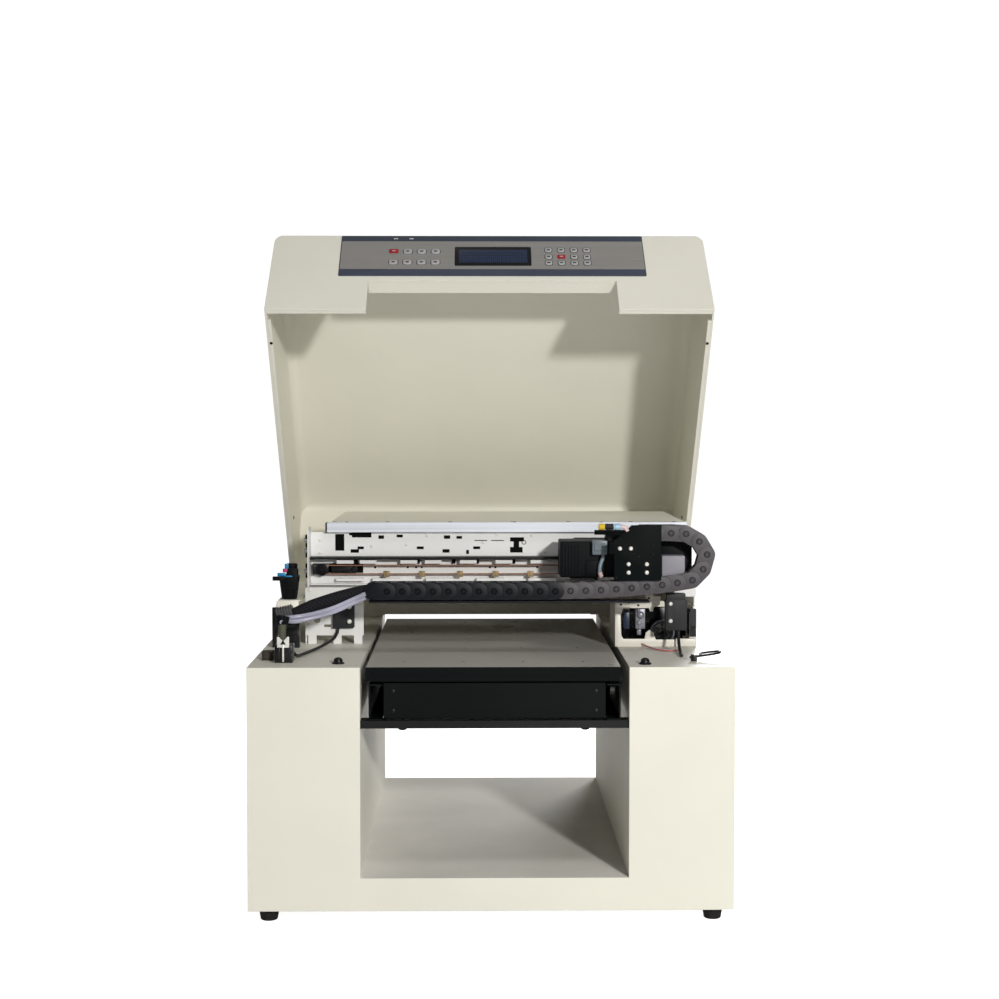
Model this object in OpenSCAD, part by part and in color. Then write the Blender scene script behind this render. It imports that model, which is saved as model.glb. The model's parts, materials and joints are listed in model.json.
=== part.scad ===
// Flatbed UV printer with its lid open. X runs left to right, Y from the front
// to the back and Z up. The origin is on the floor under the middle of the
// whole object, so that helper module at() takes places from the front face.

/* [Base] */
// Width of the base and of the lid
base_w = 640; // [620:1:680]
// Depth of the base
base_d = 640; // [630:1:680]
// Height of the feet
foot_h = 20; // [14:1:24]
// Height of the deck above the floor
deck_z = 342; // [340:1:344]
// Thickness of the sheet steel
sheet = 2; // [1.5:0.1:2.2]
// Left wall of the tunnel
tunnel_left = -172; // [-176:1:-170]
// Right wall of the tunnel
tunnel_right = 181; // [180:1:184]
// Height of the tunnel floor above the floor
sill_z = 63.5; // [50:0.5:90]

/* [Bed] */
// Width of the table top
table_w = 335; // [330:1:336]
// Length of the table top
table_l = 550; // [500:1:560]
// Thickness of the table top
table_t = 19; // [16:1:20]
// Height of the bed box under the table
bed_h = 46.6; // [44:0.1:47]

/* [Lid] */
// Distance of the hinge axis behind the front face
hinge_y = 612; // [610:1:614]
// Height of the hinge axis above the floor
hinge_z = 351; // [350:0.5:352]
// Angle that the lid stands open
open_angle = 51; // [40:1:55]
// Height of the lid above the hinge axis
lid_rise = 183; // [182:1:190]
// Thickness of the lid's wall
lid_wall = 3; // [2:0.5:3]
// Radius of the lid's outer corners
lid_round = 20; // [12:1:24]
// Radius of the edge between the lid's front and its roof
lid_edge = 4; // [4:1:20]

/* [Carriage] */
// Height of the middle of the lower run of the drag chain
chain_low_z = 430; // [429:0.5:431]
// Bend radius of the drag chain at its middle line
chain_bend = 40; // [38:1:40]
// Height of a chain link
link_h = 24; // [20:1:24]
// Length of a chain link
link_l = 21; // [20:0.5:21]
// Radius of the middle of the timing belt on its pulleys
belt_r = 6.15; // [6:0.05:6.2]

/* [Hidden] */
$fn = 48;
half_w = base_w / 2;
rim_gap = 1;
rim_z = deck_z + rim_gap;
lid_top_z = hinge_z + lid_rise;
lid_rear_top = 554;
lid_rear_low = hinge_y - 8;
rear_arc = 16;
// Rearmost point of the open lid, on the arc between its roof and its rear wall
open_back = hinge_y + (lid_rear_top - rear_arc - hinge_y) * cos(open_angle)
    + (lid_top_z - rear_arc - hinge_z) * sin(open_angle) + rear_arc;
mid_y = open_back / 2;
bridge_z = 374;
tunnel_mid = (tunnel_left + tunnel_right) / 2;
rail_z = 261;
rail_top = 271;
table_z = deck_z - 1;
table_x = tunnel_mid - 1.5;
frame_y = 235;
chain_front = 116;
chain_back = 144;
loop_x = 257;
chain_top_z = chain_low_z + 2 * chain_bend;
belt_z = 450.7;
idler_x = -240;
drive_x = 262;
// Gap at a welded seam, so that each sheet piece is a solid of its own
seam = 0.05;

// ---- helpers ----

// Places its children from the middle of the front face at floor level
module at(x, y, z) translate([x, y - mid_y, z]) children();

// A block between two opposite corners
module block(low, high) at(low.x, low.y, low.z) cube(high - low);

// Round bars along each direction, from a start point
module bar_x(x, y, z, r, l) at(x, y, z) rotate([0, 90, 0]) cylinder(r = r, h = l);
module bar_y(x, y, z, r, l) at(x, y, z) rotate([-90, 0, 0]) cylinder(r = r, h = l);
module bar_z(x, y, z, r, l) at(x, y, z) cylinder(r = r, h = l);

// Extrudes an X-Z outline towards the back, starting at depth y
module slab_y(y, depth) at(0, y, 0) translate([0, depth, 0]) rotate([90, 0, 0])
    linear_extrude(depth) children();

// Extrudes a Y-Z outline to the right, starting at x
module slab_x(x, width) at(x, 0, 0) rotate([90, 0, 90]) linear_extrude(width) children();

// Points on an arc, for outlines
function arc(cx, cy, r, a0, a1, n = 10) =
    [for (i = [0:n]) let (a = a0 + (a1 - a0) * i / n) [cx + r * cos(a), cy + r * sin(a)]];

// One point of a smooth curve through p1 and p2, with neighbours p0 and p3
function smooth(p0, p1, p2, p3, t) = 0.5 * (2 * p1 + (p2 - p0) * t
    + (2 * p0 - 5 * p1 + 4 * p2 - p3) * t * t
    + (3 * p1 - p0 - 3 * p2 + p3) * t * t * t);

// A route through all points, with four steps between neighbours
function route(p) = [
    for (i = [0:len(p) - 2], k = [0:3])
        smooth(p[max(i - 1, 0)], p[i], p[i + 1], p[min(i + 2, len(p) - 1)], k / 4),
    p[len(p) - 1]
];
function unit(v) = v / norm(v);

// A round flexible tube along a route, in one piece
module tube(points, d, sides = 8) {
    p = [for (q = route(points)) q - [0, mid_y, 0]];
    n = len(p);
    dirs = [for (i = [0:n - 1]) unit(p[min(i + 1, n - 1)] - p[max(i - 1, 0)])];
    up = [0.31, 0.17, 0.93];
    rings = [for (i = [0:n - 1])
        let (s = unit(cross(dirs[i], up)), t = cross(s, dirs[i]))
        for (k = [0:sides - 1])
            p[i] + d / 2 * (s * cos(360 * k / sides) + t * sin(360 * k / sides))];
    polyhedron(points = rings, faces = concat(
        [[for (k = [sides - 1:-1:0]) k]],
        [[for (k = [0:sides - 1]) (n - 1) * sides + k]],
        [for (i = [0:n - 2], k = [0:sides - 1]) let (m = (k + 1) % sides)
            [i * sides + k, i * sides + m, (i + 1) * sides + m, (i + 1) * sides + k]]
    ));
}

// Swings its children from the closed place of the lid to the open one
module lid_open() at(0, hinge_y, hinge_z) rotate([-open_angle, 0, 0])
    translate([0, mid_y - hinge_y, -hinge_z]) children();

// ---- base ----

module front_outline() difference() {
    translate([-half_w, foot_h]) square([base_w, deck_z - foot_h]);
    translate([tunnel_left, sill_z]) square([tunnel_right - tunnel_left, deck_z]);
}

module front_panel() color("ivory") slab_y(0, sheet) front_outline();

module side_panels() color("ivory") for (x = [-half_w, half_w - sheet])
    block([x, sheet, foot_h], [x + sheet, base_d - sheet, deck_z - sheet]);

module decks() color("antiquewhite") {
    difference() {
        block([-half_w, sheet, deck_z - sheet], [tunnel_left, base_d - sheet, deck_z]);
        bar_z(-216, 62, deck_z - 5, 4.1, 10);
    }
    difference() {
        block([tunnel_right, sheet, deck_z - sheet], [half_w, base_d - sheet, deck_z]);
        bar_z(204, 47, deck_z - 5, 4.1, 10);
    }
}

module tunnel_walls() color("antiquewhite") {
    block([tunnel_left - sheet, sheet, sill_z], [tunnel_left, base_d - sheet, deck_z - sheet]);
    difference() {
        block([tunnel_right, sheet, sill_z], [tunnel_right + sheet, base_d - sheet, deck_z - sheet]);
        bar_x(tunnel_right - 5, 612, 309, 4, 20);
    }
}

module tunnel_floor() color("gainsboro")
    block([tunnel_left - sheet, sheet, sill_z - sheet], [tunnel_right + sheet, base_d - sheet, sill_z]);

// Underside holes for bolting the base to a stand
stand_x = 560;
stand_y = 540;

module bottom_plate() color("ivory") difference() {
    block([-half_w + sheet, sheet, foot_h], [half_w - sheet, base_d - sheet, foot_h + sheet]);
    for (sx = [-1, 1], sy = [-1, 1])
        bar_z(sx * stand_x / 2, base_d / 2 + sy * stand_y / 2, foot_h - 5, 4.5, 12);
}

inlet_x = -250;
inlet_z = 70;
fan_x = 250;
fan_z = 200;

module rear_panel() color("ivory") difference() {
    slab_y(base_d - sheet, sheet) front_outline();
    block([inlet_x - 14, base_d - 5, inlet_z - 10], [inlet_x + 14, base_d + 5, inlet_z + 10]);
    block([inlet_x + 24, base_d - 5, inlet_z - 11], [inlet_x + 38, base_d + 5, inlet_z + 11]);
    for (ring = [10:9:28], a = [0:360 / floor(ring * 0.7):359])
        bar_y(fan_x + ring * cos(a), base_d - 5, fan_z + ring * sin(a), 3, 10);
}

module feet() color("black") for (x = [-1, 1], y = [36, base_d - 36])
    at(x * (half_w - 24), y, 0) cylinder(r1 = 11.5, r2 = 15, h = foot_h);

// Panel across the back of the tunnel, under which the table passes
module rear_bridge() color("antiquewhite") {
    difference() {
        block([-228, 580, deck_z], [280, 582, bridge_z]);
        block([tunnel_left, 570, deck_z - 1], [tunnel_right, 590, 346]);
    }
    block([-228, 515, bridge_z], [280, 582, bridge_z + sheet]);
}

module power_inlet() color("black") difference() {
    union() {
        block([inlet_x - 13.8, base_d - 22, inlet_z - 9.8], [inlet_x + 13.8, base_d - sheet, inlet_z + 9.8]);
        block([inlet_x - 13.8, base_d - sheet, inlet_z - 9.8], [inlet_x + 13.8, base_d, inlet_z + 9.8]);
    }
    block([inlet_x - 11, base_d - 17, inlet_z - 7], [inlet_x + 11, base_d + 1, inlet_z + 7]);
}

module power_switch() color("firebrick") {
    block([inlet_x + 24.4, base_d - 5, inlet_z - 10.4], [inlet_x + 37.6, base_d - 0.6, inlet_z + 10.4]);
    bar_x(inlet_x + 24.1, base_d - 3, inlet_z, 1.2, 13.8);
}

module fan_frame() color("black") {
    difference() {
        block([fan_x - 40, base_d - 30, fan_z - 40], [fan_x + 40, base_d - sheet, fan_z + 40]);
        bar_y(fan_x, base_d - 31, fan_z, 37, 40);
    }
    bar_y(fan_x, base_d - 29.5, fan_z, 12, 4);
    for (a = [45:90:315])
        at(fan_x, base_d - 29, fan_z) rotate([0, a, 0]) translate([10, 0, -1.5]) cube([28.4, 3, 3]);
}

module fan_rotor() color("dimgray") {
    bar_y(fan_x, base_d - 25, fan_z, 13, 18);
    for (a = [0:360 / 7:359])
        at(fan_x, base_d - 23, fan_z) rotate([0, a, 0]) translate([12, 7, -8])
            rotate([35, 0, 0]) cube([23, 1.6, 14]);
}

// Power supply on the bottom plate, and the main board on its posts
module electronics() color("darkgreen") {
    block([-300, 320, foot_h + sheet], [-190, 520, foot_h + sheet + 45]);
    block([200, 120, 200], [202, 330, 320]);
    for (y = [140, 200, 260]) block([202 + seam, y, 215], [214, y + 40, 255]);
    for (y = [130, 320], z = [206, 314])
        bar_x(tunnel_right + sheet, y, z, 3, 200 - tunnel_right - sheet - seam);
}

// ---- bed ----

channel_w = 18;
left_rail_x = -161;
right_rail_x = 152;

module cross_rails() color("dimgray") for (y = [4, base_d - 40]) difference() {
    block([tunnel_left, y, rail_z], [tunnel_right, y + 26, rail_top]);
    for (x = [-117, 124]) bar_z(x, y + 13, rail_z - 1, 2.5, 12);
}

// C-shaped rails that open towards the bed box
module channel(x, open_right) difference() {
    block([x, 6, rail_top], [x + channel_w, base_d - 8, 319]);
    translate([open_right ? sheet : -sheet, 0, 0])
        block([x - (open_right ? 0 : 1), 5, rail_top + sheet], [x + channel_w + (open_right ? 1 : 0), base_d, 317]);
}

module slide_rails() color("#151a1a") {
    channel(left_rail_x, true);
    difference() {
        channel(right_rail_x, false);
        bar_x(right_rail_x + 10, 612, 309, 4, 20);
    }
}

box_left = -141.5;
box_right = 150.5;
box_front = 12;
box_back = 556;
box_z = 273;
post_x = 120;
post_y = 220;
post_r = 5;

// Runs its children at the four guide posts
module post_places() for (sx = [-1, 1], sy = [-1, 1])
    translate([table_x + sx * post_x, 0, 0]) translate([0, 285 + sy * post_y, 0]) children();

module bed_box() color("#10191a") difference() {
    block([box_left, box_front, box_z], [box_right, box_back, box_z + bed_h]);
    block([box_left + 2, box_front + 2, box_z + 2], [box_right - 2, box_back - 2, box_z + bed_h - 2]);
    post_places() bar_z(0, 0, box_z + 10, post_r + 0.05, bed_h);
    bar_z(table_x, 285, box_z + 10, 10, bed_h);
}

// Blocks that carry the bed in the rails, and the clamp on the bed's belt
module slide_blocks() color("black") {
    for (y = [372, 500]) {
        block([left_rail_x + 2.5, y, rail_top + 2.3], [box_left, y + 40, 300]);
        block([box_right, y, rail_top + 2.3], [right_rail_x + channel_w - 2.5, y + 40, 300]);
    }
    block([box_right, 440, 296], [164, 460, 301.8]);
}

module table_top() color("gray") {
    difference() {
        block([table_x - table_w / 2, 10, table_z - table_t], [table_x + table_w / 2, 10 + table_l, table_z]);
        for (x = [-120, -40, 40, 120], y = [60, 200, 380, 510])
            bar_z(table_x + x, y, table_z - 8, 2.1, 10);
    }
    post_places() bar_z(0, 0, box_z + 3, post_r, table_z - table_t - box_z - 3);
    difference() {
        bar_z(table_x, 285, box_z + 8, 8, table_z - table_t - box_z - 8);
        bar_z(table_x, 285, box_z + 7, 4.05, 39.5);
    }
}

module lift_screw() color("silver") {
    bar_z(table_x, 285, box_z + 2.2, 4, 43);
    bar_z(table_x, 285, box_z + 2.2, 9, 5);
}

bed_belt_x = 157;
bed_belt_z = 309;
bed_belt_r = 5.5;

// A flat belt round two pulleys, with its outline in the plane of travel
module belt_loop(from, to, z, r, t) difference() {
    hull() for (p = [from, to]) translate([p, z]) circle(r = r + t);
    hull() for (p = [from, to]) translate([p, z]) circle(r = r);
}

module bed_belt() color("#1c1c1c") slab_x(bed_belt_x, 6)
    belt_loop(24, 612, bed_belt_z, bed_belt_r, 1.2);

module bed_pulley() color("silver") {
    bar_x(bed_belt_x - 1, 612, bed_belt_z, bed_belt_r - 0.1, 8);
    bar_x(bed_belt_x + 7, 612, bed_belt_z, 2.5, 3.4);
}

// ---- print mechanism ----

frame_left = -258;
frame_right = 272;
frame_low = 429;
frame_high = 504;

// Cut-outs in the white panel: left edge, bottom edge, width and height
panel_holes = [
    [-222, 477, 13, 24], [-198, 496, 28, 8], [-202, 499, 10, 4], [-160, 494, 8, 5],
    [-134, 496, 9, 4], [-200, 474, 12, 5], [-190, 479, 9, 4], [-105, 479, 10, 4],
    [-66, 494, 9, 5], [-48, 494, 8, 4], [-68, 474, 10, 5], [-34, 472, 4, 6],
    [-24, 479, 10, 4], [29, 474, 18, 8], [34, 481, 8, 10], [29, 490, 20, 6]
];

module main_frame() color("white") {
    difference() {
        block([frame_left, frame_y, frame_low], [frame_right, frame_y + 1.5, frame_high]);
        for (h = panel_holes)
            block([h[0], frame_y - 5, h[1]], [h[0] + h[2], frame_y + 5, h[1] + h[3]]);
        for (x = [-165, -118, -106, -98, 0, 8, 68])
            bar_y(x, frame_y - 5, 453, 1.6, 10);
        block([-231, frame_y - 5, 445], [-182, frame_y + 5, 459]);
        bar_y(drive_x, frame_y - 5, belt_z, 3.2, 10);
    }
    block([frame_left, frame_y - 42, frame_low], [frame_left + 1.5, frame_y - seam, frame_high + 8]);
    block([frame_left + 2, frame_y - 12, frame_low], [frame_right, frame_y - seam, frame_low + 1.5]);
    for (x = [-219, -186, -128, -93, -43, 8, 58])
        block([x, frame_y - 14, 459.5], [x + 24, frame_y - seam, 464.5]);
    for (x = [-200, -148, -72, 1, 75])
        block([x - 20, frame_y - 10, 434], [x + 20, frame_y - seam, 438]);
}

module top_rail() color("lightsteelblue") difference() {
    block([-233, frame_y - 9, frame_high], [282, frame_y + 5, 518]);
    block([-234, frame_y - 7, frame_high - 1], [283, frame_y + 6, 516]);
}

module guide_shelf() color("#303030")
    block([frame_left + 1.5, frame_y - 20, 466], [frame_right, frame_y, 469.5]);

module timing_belt() color("sienna") slab_y(frame_y - 13, 6)
    belt_loop(idler_x, drive_x, belt_z, belt_r - 0.6, 1.2);

// Belt pulleys with flanges; the left one runs free, the right one is driven
module belt_pulley(x, shaft) {
    bar_y(x, frame_y - 13.5, belt_z, belt_r - 0.7, 7);
    bar_y(x, frame_y - 15.2, belt_z, 8.5, 1.7);
    bar_y(x, frame_y - 6.5, belt_z, 2.5, shaft);
}
module idler_pulley() color("#202020") belt_pulley(idler_x, 6);
module drive_pulley() color("silver") belt_pulley(drive_x, 6);

module drive_motors() color("#303236") {
    block([drive_x - 21, frame_y + 4, belt_z - 21], [drive_x + 15, frame_y + 44, belt_z + 21]);
    bar_y(drive_x, frame_y - 0.2, belt_z, 3, 5);
    block([tunnel_right + sheet + 4, 591, bed_belt_z - 21], [tunnel_right + 45, 633, bed_belt_z + 21]);
    bar_x(167.8, 612, bed_belt_z, 3.5, 20);
}

module rear_cover() color("antiquewhite") difference() {
    block([-228, frame_y + 5, bridge_z + sheet], [280, 515, 518]);
    block([-226, frame_y + 4, bridge_z], [278, 513, 516]);
    block([-230, frame_y + 4, bridge_z], [282, frame_y + 12, 516]);
}

// Sheet brackets that stand on the decks and hold up the mechanism
module side_brackets() color("white") {
    difference() {
        block([-266, 242, 354], [-182, 244, 428.8]);
        bar_y(-249, 235, 377, 5, 20);
        block([-239, 235, 366], [-229, 255, 370]);
    }
    for (x = [-262, -226, -196]) block([x, 242, deck_z], [x + 12, 244, 354]);
    block([-266, 244, deck_z], [-264, 510, 428.8]);
    block([295, 244, deck_z], [297, 510, 428.8]);
    block([266, 236.5, 410], [297, 244, 428.8]);
}

module side_cover() color("antiquewhite") slab_y(215, 285) polygon([
    [-310, deck_z], [-310, 386], [-302, 408], [-270, 408], [-270, 406],
    [-300.6, 406], [-308, 385.6], [-308, deck_z]
]);

// ---- hoses, sensors and small parts on the decks ----

module waste_cup() color("#15171c") {
    at(-288, 236, 408) cylinder(r1 = 11, r2 = 15, h = 34);
    at(-285, 243, 442) cylinder(r = 8, h = 24);
    block([-310, 212, 436], [-292, 216, 442]);
}

module hose_connector() color("#17181a") {
    block([-309, 200, deck_z], [-301, 206, 399]);
    block([-292, 196, deck_z], [-270, 210, 385]);
    block([-288, 44, deck_z], [-264, 72, 366]);
    block([-284, 52, 366], [-274, 62, 392]);
    block([-308, 68, deck_z], [-292, 86, 354]);
    at(-284, 128, 397) rotate([0, 12, 0]) cube([20, 26, 20], center = true);
}

sleeve_angle = 13.5;

module hose_sleeve() color("#0d0d10") at(-270, 119, 400) rotate([0, -sleeve_angle, 0])
    translate([0, 0, -8]) cube([98, 22, 18]);

// Two ink tubes from the connector up into the drag chain
module ink_tubes() color("lavender") for (dy = [0, 9])
    tube([[-279, 53.5 + dy * 0.78, 395.4], [-281, 68 + dy, 398], [-268, 96 + dy, 392], [-240, 108, 395 + dy],
          [-200, 111.5, 404 + dy], [-172, 112, 412 + dy], [-158, 112, 416 + dy]], 6);

module media_sensors() color("#1b1f26") {
    difference() {
        slab_y(234, 7.8) polygon([[-226, 365], [-197, 365], [-195, 367], [-195, 407], [-212, 407], [-226, 400]]);
        for (z = [375, 396]) bar_y(-202, 230, z, 1.6, 20);
    }
    difference() {
        block([244, 150, 372], [274, 164, 414]);
        for (z = [380, 404]) bar_y(251, 145, z, 1.6, 30);
    }
    block([250, 164 + seam, 380], [270, 203.8, 384]);
}

module sensor_cables() color("black") {
    tube([[-219, 238, 364.8], [-220, 236, 358], [-226, 222, 350], [-240, 180, 345.2], [-254, 120, 345],
          [-262, 86, 346], [-266, 75.4, 352]], 4.4);
    tube([[262, 157, 371.8], [262, 157, 362], [261, 150, 350], [258, 140, 344.6], [248, 132, 344.4],
          [236, 130, 344.4]], 4.4);
    tube([[262, 150, 344], [248, 145, 344], [232, 160, 344], [222, 190, 344], [216, 202.8, 346]], 2.4, 6);
}

module capping_frame() color("ivory") difference() {
    union() {
        block([178, 204, deck_z], [294, 206, 408]);
        block([228, 204, 408], [258, 206, 418]);
        block([178, 206, deck_z], [180, 300, 400]);
        block([292, 206, deck_z], [294, 300, 396]);
        block([180, 206, deck_z], [292, 300, deck_z + 2]);
    }
    block([188, 200, 353], [284, 210, 392]);
    block([258, 200, 396], [296, 210, 420]);
    for (x = [186, 200, 214, 226]) bar_y(x, 200, 402, 2, 10);
}

module capping_base() color("#0f1013") {
    block([184, 252, deck_z + 2], [280, 298, 370]);
    block([184, 210, deck_z + 2], [200, 252, 352]);
    block([191, 214, 366], [200, 252, 390]);
    block([284.3, 207, 357], [291.7, 250, 396]);
    bar_y(246, 220, 362, 2.9, 32 - seam);
}

module cap_slider() color("#8d8f98") {
    block([208, 214, 366], [222, 250, 398]);
    block([203, 216, 398], [228, 246, 402]);
    block([211, 222, 356], [217, 240, 366]);
}

module pump_wheel() color("#101216") difference() {
    bar_y(246, 210, 362, 17.5, 9);
    bar_y(246, 205, 362, 3, 30);
    for (a = [0:60:300]) bar_y(246 + 10.5 * cos(a), 205, 362 + 10.5 * sin(a), 3, 30);
}

// Dome knobs screwed into the decks, and the clip that holds the wire bail
module deck_knobs() color("black") {
    for (p = [[-216, 62], [204, 47]]) {
        at(p.x, p.y, deck_z) cylinder(r = 11, h = 2);
        at(p.x, p.y, deck_z + 2) intersection() {
            sphere(r = 8);
            cylinder(r = 9, h = 9);
        }
        bar_z(p.x, p.y, deck_z - 8, 4, 8);
    }
    difference() {
        block([268, bail_y - 4, deck_z], [276, bail_y + 4, bail_z + 4]);
        bar_x(260, bail_y, bail_z, bail_r + 0.06, 30);
    }
}

// Wire bail that swings up on its own rod
bail_y = 55.6;
bail_z = 347;
bail_r = 1.6;

module wire_loop() color("black") {
    bar_x(266, bail_y, bail_z, bail_r, 31);
    bar_x(283, bail_y + 22.8, bail_z, bail_r, 14);
    block([281.4, bail_y, bail_z - bail_r], [284.6, bail_y + 22.8, bail_z + bail_r]);
    at(297, bail_y + 11.4, bail_z - bail_r) difference() {
        cylinder(r = 13, h = 2 * bail_r);
        translate([0, 0, -1]) cylinder(r = 9.8, h = 6);
        translate([-20, -20, -1]) cube([20, 40, 6]);
    }
}

// ---- drag chain ----

// One link seen from the side, with a round nose that the next link laps
module link_outline() difference() {
    union() {
        translate([-link_l / 2, -link_h / 2]) square([link_l - 5.2, link_h]);
        intersection() {
            translate([0, 0]) circle(r = link_h / 2 + 0.6);
            translate([0, -link_h / 2]) square([link_l / 2 - 0.5, link_h]);
        }
    }
    circle(r = 2.2);
}

// Front and back cheeks of a row of links from x0, between two depths
module link_row(x0, count, z, front, back, cheek) for (i = [0:count - 1])
    for (y = [front, back - cheek]) slab_y(y, cheek)
        translate([x0 + (i + 0.5) * link_l, z]) link_outline();

fixed_links = 12;
fixed_x0 = loop_x - 8 * link_l - fixed_links * link_l;

module chain_fixed_run() color("#15181f") {
    link_row(fixed_x0, fixed_links, chain_low_z, chain_front, chain_back, 3);
    block([fixed_x0 - 4, chain_front, 414], [219, chain_back, 416.5]);
    block([fixed_x0 - 4, chain_front + 4.5, 416.5], [fixed_x0 + 12, chain_back - 4.5, 440]);
}

// The part of the chain that rolls: its lower run, its bend and its upper stub
module chain_loop() color("#4a484d") {
    inner = chain_front + 4;
    outer = chain_back - 4;
    link_row(loop_x - 8 * link_l, 8, chain_low_z, inner, outer, 3);
    block([loop_x - 8 * link_l, inner + 3, chain_low_z - 9], [loop_x, outer - 3, chain_low_z - 7]);
    at(loop_x, inner, chain_low_z + chain_bend) rotate([-90, 0, 0]) difference() {
        cylinder(r = chain_bend + link_h / 2, h = outer - inner);
        translate([0, 0, -1]) cylinder(r = chain_bend - link_h / 2, h = outer);
        translate([-100, -100, -1]) cube([100, 200, 100]);
    }
    link_row(loop_x - link_l, 1, chain_top_z, inner, outer, 3);
}

upper_x0 = 234 - 3 * link_l;
module chain_upper_a() color("#4a484d")
    link_row(upper_x0, 3, chain_top_z, chain_front + 0.6, chain_back - 0.6, 3);
module chain_upper_b() color("#4a484d")
    link_row(upper_x0, 3, chain_top_z, chain_front + 7.4, chain_back - 7.4, 3);
module chain_upper_c() color("#4a484d")
    link_row(upper_x0, 3, chain_top_z, chain_front + 10.8, chain_back - 10.8, 3);

// ---- carriage ----

plate_y = 112;

module carriage_plate() color("#0c0f14") difference() {
    union() {
        slab_y(plate_y, 2.5) polygon([
            [162, 481], [162, 498], [168, 498], [191, 519], [234, 519], [234, 445], [169, 445], [169, 481]
        ]);
        block([175, plate_y + 2.5, 460], [228, 150, 463]);
        block([175, plate_y + 2.5, 490], [228, 150, 493]);
    }
    for (p = [[177, 489], [192, 489], [189, 467.5], [214, 467.5], [189, 456], [214, 456]])
        bar_y(p.x, plate_y - 5, p.y, 1.6, 12);
}

module carriage_body() color("#121214") {
    difference() {
        block([97, 150, 446], [234, 212, 496]);
        block([103, 149, 449], [165, 206, 489]);
        block([111, 159, 440], [151, 201, 450]);
    }
    block([120, 212, 472], [220, 231, 496]);
    block([125, 212, 455.2], [150, 219.5, 458.4]);
    block([236, 154, 442], [266, 212, 500]);
    block([234, 170, 470], [236, 200, 480]);
}

module print_head() color("#3a3d44") {
    block([104, 152, 449], [164, 205, 470]);
    block([112, 160, 441], [150, 200, 446]);
    block([116, 164, 446], [146, 196, 449]);
}

module uv_lamp() color("#8a8790") slab_y(126, 28)
    polygon(concat([[236, 449], [236, 478], [268, 478]], arc(258, 459, 10, 0, -90)));

module ink_dampers() {
    color("gold") bar_x(151, 160, 516, 4.4, 9);
    color("black") bar_x(160.3, 160, 516, 4, 11);
    color("lightblue") bar_x(171.6, 160, 516, 4.4, 10);
    color("black") block([146, 152, 496], [190, 176, 511.4]);
    color("slategray") block([141, 140, 478], [162, 149.8, 498]);
    color("lightsteelblue") tube([[157, 145, 477.8], [155, 145, 470], [152, 145, 460], [153, 145, 450]], 6);
}

// ---- lid ----

// Side view of the closed lid, drawn in by a margin and open below for the hollow
function lid_side(m, low) = concat(
    [[m, low]],
    arc(lid_edge, lid_top_z - lid_edge, lid_edge - m, 180, 90),
    arc(lid_rear_top - rear_arc, lid_top_z - rear_arc, rear_arc - m, 90, 18),
    [[lid_rear_low - m, low]]
);

module lid_form(m, low) intersection() {
    slab_x(-half_w + m, base_w - 2 * m) polygon(lid_side(m, low));
    slab_y(-10, base_d + 40) polygon(concat(
        [[half_w - m, low]],
        arc(half_w - lid_round, lid_top_z - lid_round, lid_round - m, 0, 90),
        arc(lid_round - half_w, lid_top_z - lid_round, lid_round - m, 90, 180),
        [[m - half_w, low]]
    ));
}

cut_left = -176;
cut_right = 184;
cut_high = hinge_z + 63;
hem = 8;

module lid_shell() color("antiquewhite") lid_open() difference() {
    lid_form(0, rim_z);
    lid_form(lid_wall, rim_z - 5);
    block([cut_left, -5, rim_z - 5], [cut_right, lid_wall + 3, cut_high]);
}

// Lip over the cut-out, hems along the rim and hinge leaves, all welded to the shell
module lid_trim() color("antiquewhite") lid_open() {
    inner = half_w - lid_wall - seam;
    block([cut_left, lid_wall + seam, cut_high], [cut_right, 22, cut_high + 2]);
    block([-inner, 20, rim_z], [hem - half_w, 560, rim_z + 3]);
    block([half_w - hem, 20, rim_z], [inner, 560, rim_z + 3]);
    block([-inner, lid_wall + seam, rim_z], [cut_left, hem, rim_z + 3]);
    block([cut_right, lid_wall + seam, rim_z], [inner, hem, rim_z + 3]);
    for (x = [-200, 200]) difference() {
        union() {
            bar_x(x - 9.8, hinge_y, hinge_z, 5, 19.6);
            block([x - 9.8, lid_rear_low + seam, hinge_z - 2], [x + 9.8, hinge_y - 2, hinge_z + 3]);
        }
        bar_x(x - 12, hinge_y, hinge_z, 2.55, 24);
    }
}

module hinge_blocks() color("silver") for (x = [-200, 200]) {
    block([x - 30, 607, deck_z], [x + 30, 632, deck_z + 2]);
    for (dx = [-30, 10]) {
        bar_x(x + dx, hinge_y, hinge_z, 5, 20);
        block([x + dx, 612, deck_z + 2], [x + dx + 20, 617, hinge_z]);
    }
    bar_x(x - 10.5, hinge_y, hinge_z, 2.5, 21);
}

// Printed control film on the front of the lid, with its raised keys
panel_x = 4.5;
panel_w = 449;
panel_low = hinge_z + 74;
panel_high = lid_top_z - 4.5;
film = 1.4;
row_top = hinge_z + 136;
left_keys_x = -141;
right_keys_x = 87.5;
right_key_pitch = 18.9;

module control_panel() color("slategray") lid_open() {
    difference() {
        block([panel_x - panel_w / 2, -film, panel_low], [panel_x + panel_w / 2, 0, panel_high]);
        block([left_keys_x - 7.4, -film - 1, row_top - 5.2], [left_keys_x + 7.4, -0.4, row_top + 5.2]);
        block([right_keys_x + right_key_pitch - 6.2, -film - 1, hinge_z + 116.8],
              [right_keys_x + right_key_pitch + 6.2, -0.4, hinge_z + 127.2]);
    }
    block([-51, -film - 0.8, hinge_z + 99], [62, -film, hinge_z + 148]);
}

module power_key() color("firebrick") lid_open()
    block([left_keys_x - 7, -film - 1.4, row_top - 4.8], [left_keys_x + 7, -0.9, row_top + 4.8]);

module stop_key() color("firebrick") lid_open()
    block([right_keys_x + right_key_pitch - 5.8, -film - 1.4, hinge_z + 117.2],
          [right_keys_x + right_key_pitch + 5.8, -0.9, hinge_z + 126.8]);

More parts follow.
